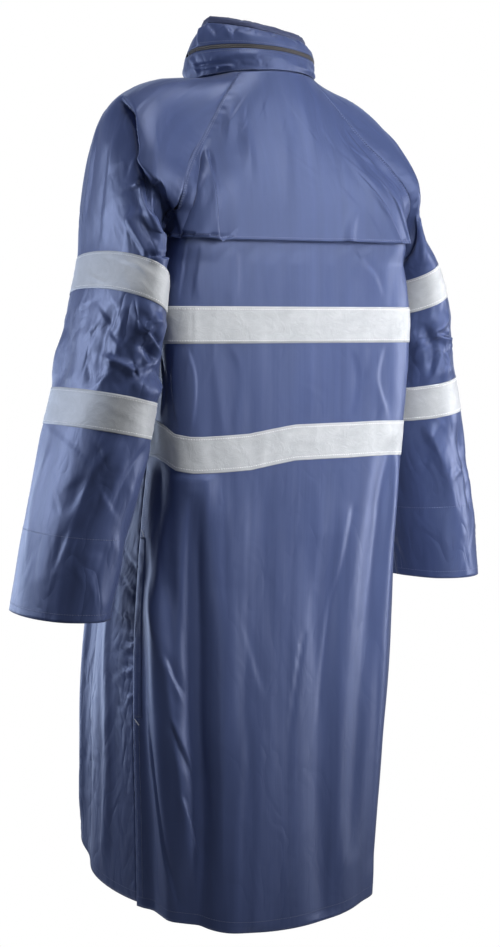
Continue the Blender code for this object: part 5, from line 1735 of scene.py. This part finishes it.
# %% Bartacks
# panel, its outer and inner place, its upper and lower row
TACKS = [(back, 0.985, 0.955, 11.93, 12.0), (back, 0.985, 0.955, 14.0, 14.06), (yoke, 0.93, 0.90, 4.86, 4.98)]
TACK = (0.0020, 0.0006, 0.0005)
TACK_PITCH = 0.0007

runs = [
    walk(panel, ((side * outer, high), (side * inner, low)), TACK_PITCH)
    for panel, outer, inner, high, low in TACKS
    for side in (1, -1)
]
sew("bartacks", runs, TACK, thread_pale, across=True)

# %% [markdown]
# ## Zip
#
# The collar's zip is a nylon coil on a dark ribbon. A real coil is one long spiral and could be swept
# along the zip, but at a millimetre's pitch only its bars show. So its teeth are short bars across the
# ribbon, laid in two rows that meet in the middle, by the same helper as the stitches.

# %% Zip ribbon and coil
TOOTH = (0.0026, 0.0010, 0.0012)
TOOTH_PITCH = 0.0013
END_STOP = (0.0052, 0.0014, 0.0016)
# the ribbon reaches under the edges of both bands and lies a little deeper
RIBBON_UNDER = 0.0006
RIBBON_SINK = 0.0002

zip_degrees = np.linspace(ZIP_END_DEG - 2, 2 - ZIP_END_DEG, 160)
ribbon_rows = np.linspace(-1, 1, 5)
ribbon = np.stack([collar_ring(COLLAR_ZIP, zip_degrees) for _ in ribbon_rows])
ribbon[..., 2] -= (ribbon_rows * (ZIP_HALF_WIDTH + RIBBON_UNDER))[:, None]
ribbon = Panel(ribbon, ribbon_rows, zip_degrees)
ribbon.raise_by(np.full(ribbon.grid.shape[:2], -RIBBON_SINK))
make_shell("zip_ribbon_cloth", ribbon, ["collar_zip"], slot="zip_coil", finishes=(zip_ribbon, zip_ribbon))
runs = [walk(ribbon, ((94.5, row), (-94.5, row)), TOOTH_PITCH, 0.0005) for row in (-0.33, 0.33)]
sew("zip_teeth", runs, TOOTH, zip_nylon, across=True)
runs = [walk(ribbon, ((97.2, 0.0), (95.0, 0.0)), 0.0010, 0.0006)]
sew("zip_end_stop", runs, END_STOP, dark_metal, across=True)

# %% [markdown]
# The slider, its pull and the press studs are hard and small, and their measured shapes are already
# right. They could be modelled again in finer detail, but they only need their dark, painted metal.

# %% Slider, pull and press studs
hard_pieces = ["collar_zip_slider", "collar_zip_pull"] + [f"press_stud_{number}" for number in range(1, 7)]
for name in hard_pieces:
    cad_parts[name].material_slots[0].material = dark_metal
print("in metal:", len(hard_pieces))

# %% [markdown]
# ## Front closing and pocket mouths
#
# A storm flap covers the front closing. It lies on both fronts and the two body tapes run across it. It
# could be a copy of the fronts' inner columns, but those are spaced for the fronts, so it is drawn again
# from their rows. At the side seams a strip of cloth lies behind each pocket's slit, made from the back's
# own points.

# %% Storm flap and its tapes
FLAP_HALF_WIDTH = 0.030
FLAP_THICKNESS = 0.0010
FLAP_GAP = 0.0003
FLAP_TAPE_SEED = 86

flap_rows = front_rows[(front_rows > 0.5) & (front_rows < 15.0)]
flap_rows = np.unique(np.concatenate([flap_rows, TAPE_EDGES]))
shares = np.linspace(0, 1, 10)
# a row leaves the centre line at three times its reach, so this share of it is as long as the flap is wide
reach = smooth_rows(FRONT, flap_rows, slice(3, 6))[:, 2]
s = FLAP_HALF_WIDTH / (3 * reach[:, None]) * shares[None, :]
left_half = body_half(FRONT, "left", -1, flap_rows, s)
right_half = body_half(FRONT, "right", -1, flap_rows, s) * (-1, 1, 1)
grid = np.concatenate([right_half[:, :0:-1], left_half], axis=1)
flap = Panel(grid, flap_rows, np.concatenate([-shares[:0:-1], shares]))
small = scatter_creases(33, 24, (-0.9, 0.9), (1.0, 14.6), 0.2, 0.8, 0.6)
flap.raise_by(WALL * 1.5 + FLAP_GAP + lay_creases(flap, small))
make_cloth("storm_flap_cloth", flap, ["storm_flap"], thickness=FLAP_THICKNESS)
for level, (rows, _) in LEVELS.items():
    tape_on("tape", f"{level}_flap", flap, rows, FLAP_TAPE_SEED)
runs = [seam_run(flap, side * 0.88, 0.6, 14.9) for side in (-1, 1)]
sew("flap_stitches", runs, STITCH, thread_navy)

# %% Welts behind the pocket mouths
# the middle of a welt and half its width, both as places, and how far it stands off the back
WELT_PLACE = 0.965
WELT_HALF_WIDTH = 0.030
WELT_LIFT = 0.0002

for side, place in (("left", 1), ("right", -1)):
    inside = (back.rows > ROWS_POCKET[0]) & (back.rows < ROWS_POCKET[1])
    columns = np.abs(back.places - place * WELT_PLACE) < WELT_HALF_WIDTH
    grid = back.grid[inside][:, columns] + back.normals[inside][:, columns] * WELT_LIFT
    welt = Panel(grid, back.rows[inside], back.places[columns])
    make_cloth(f"pocket_welt_cloth_{side}", welt, [f"pocket_welt_{side}"])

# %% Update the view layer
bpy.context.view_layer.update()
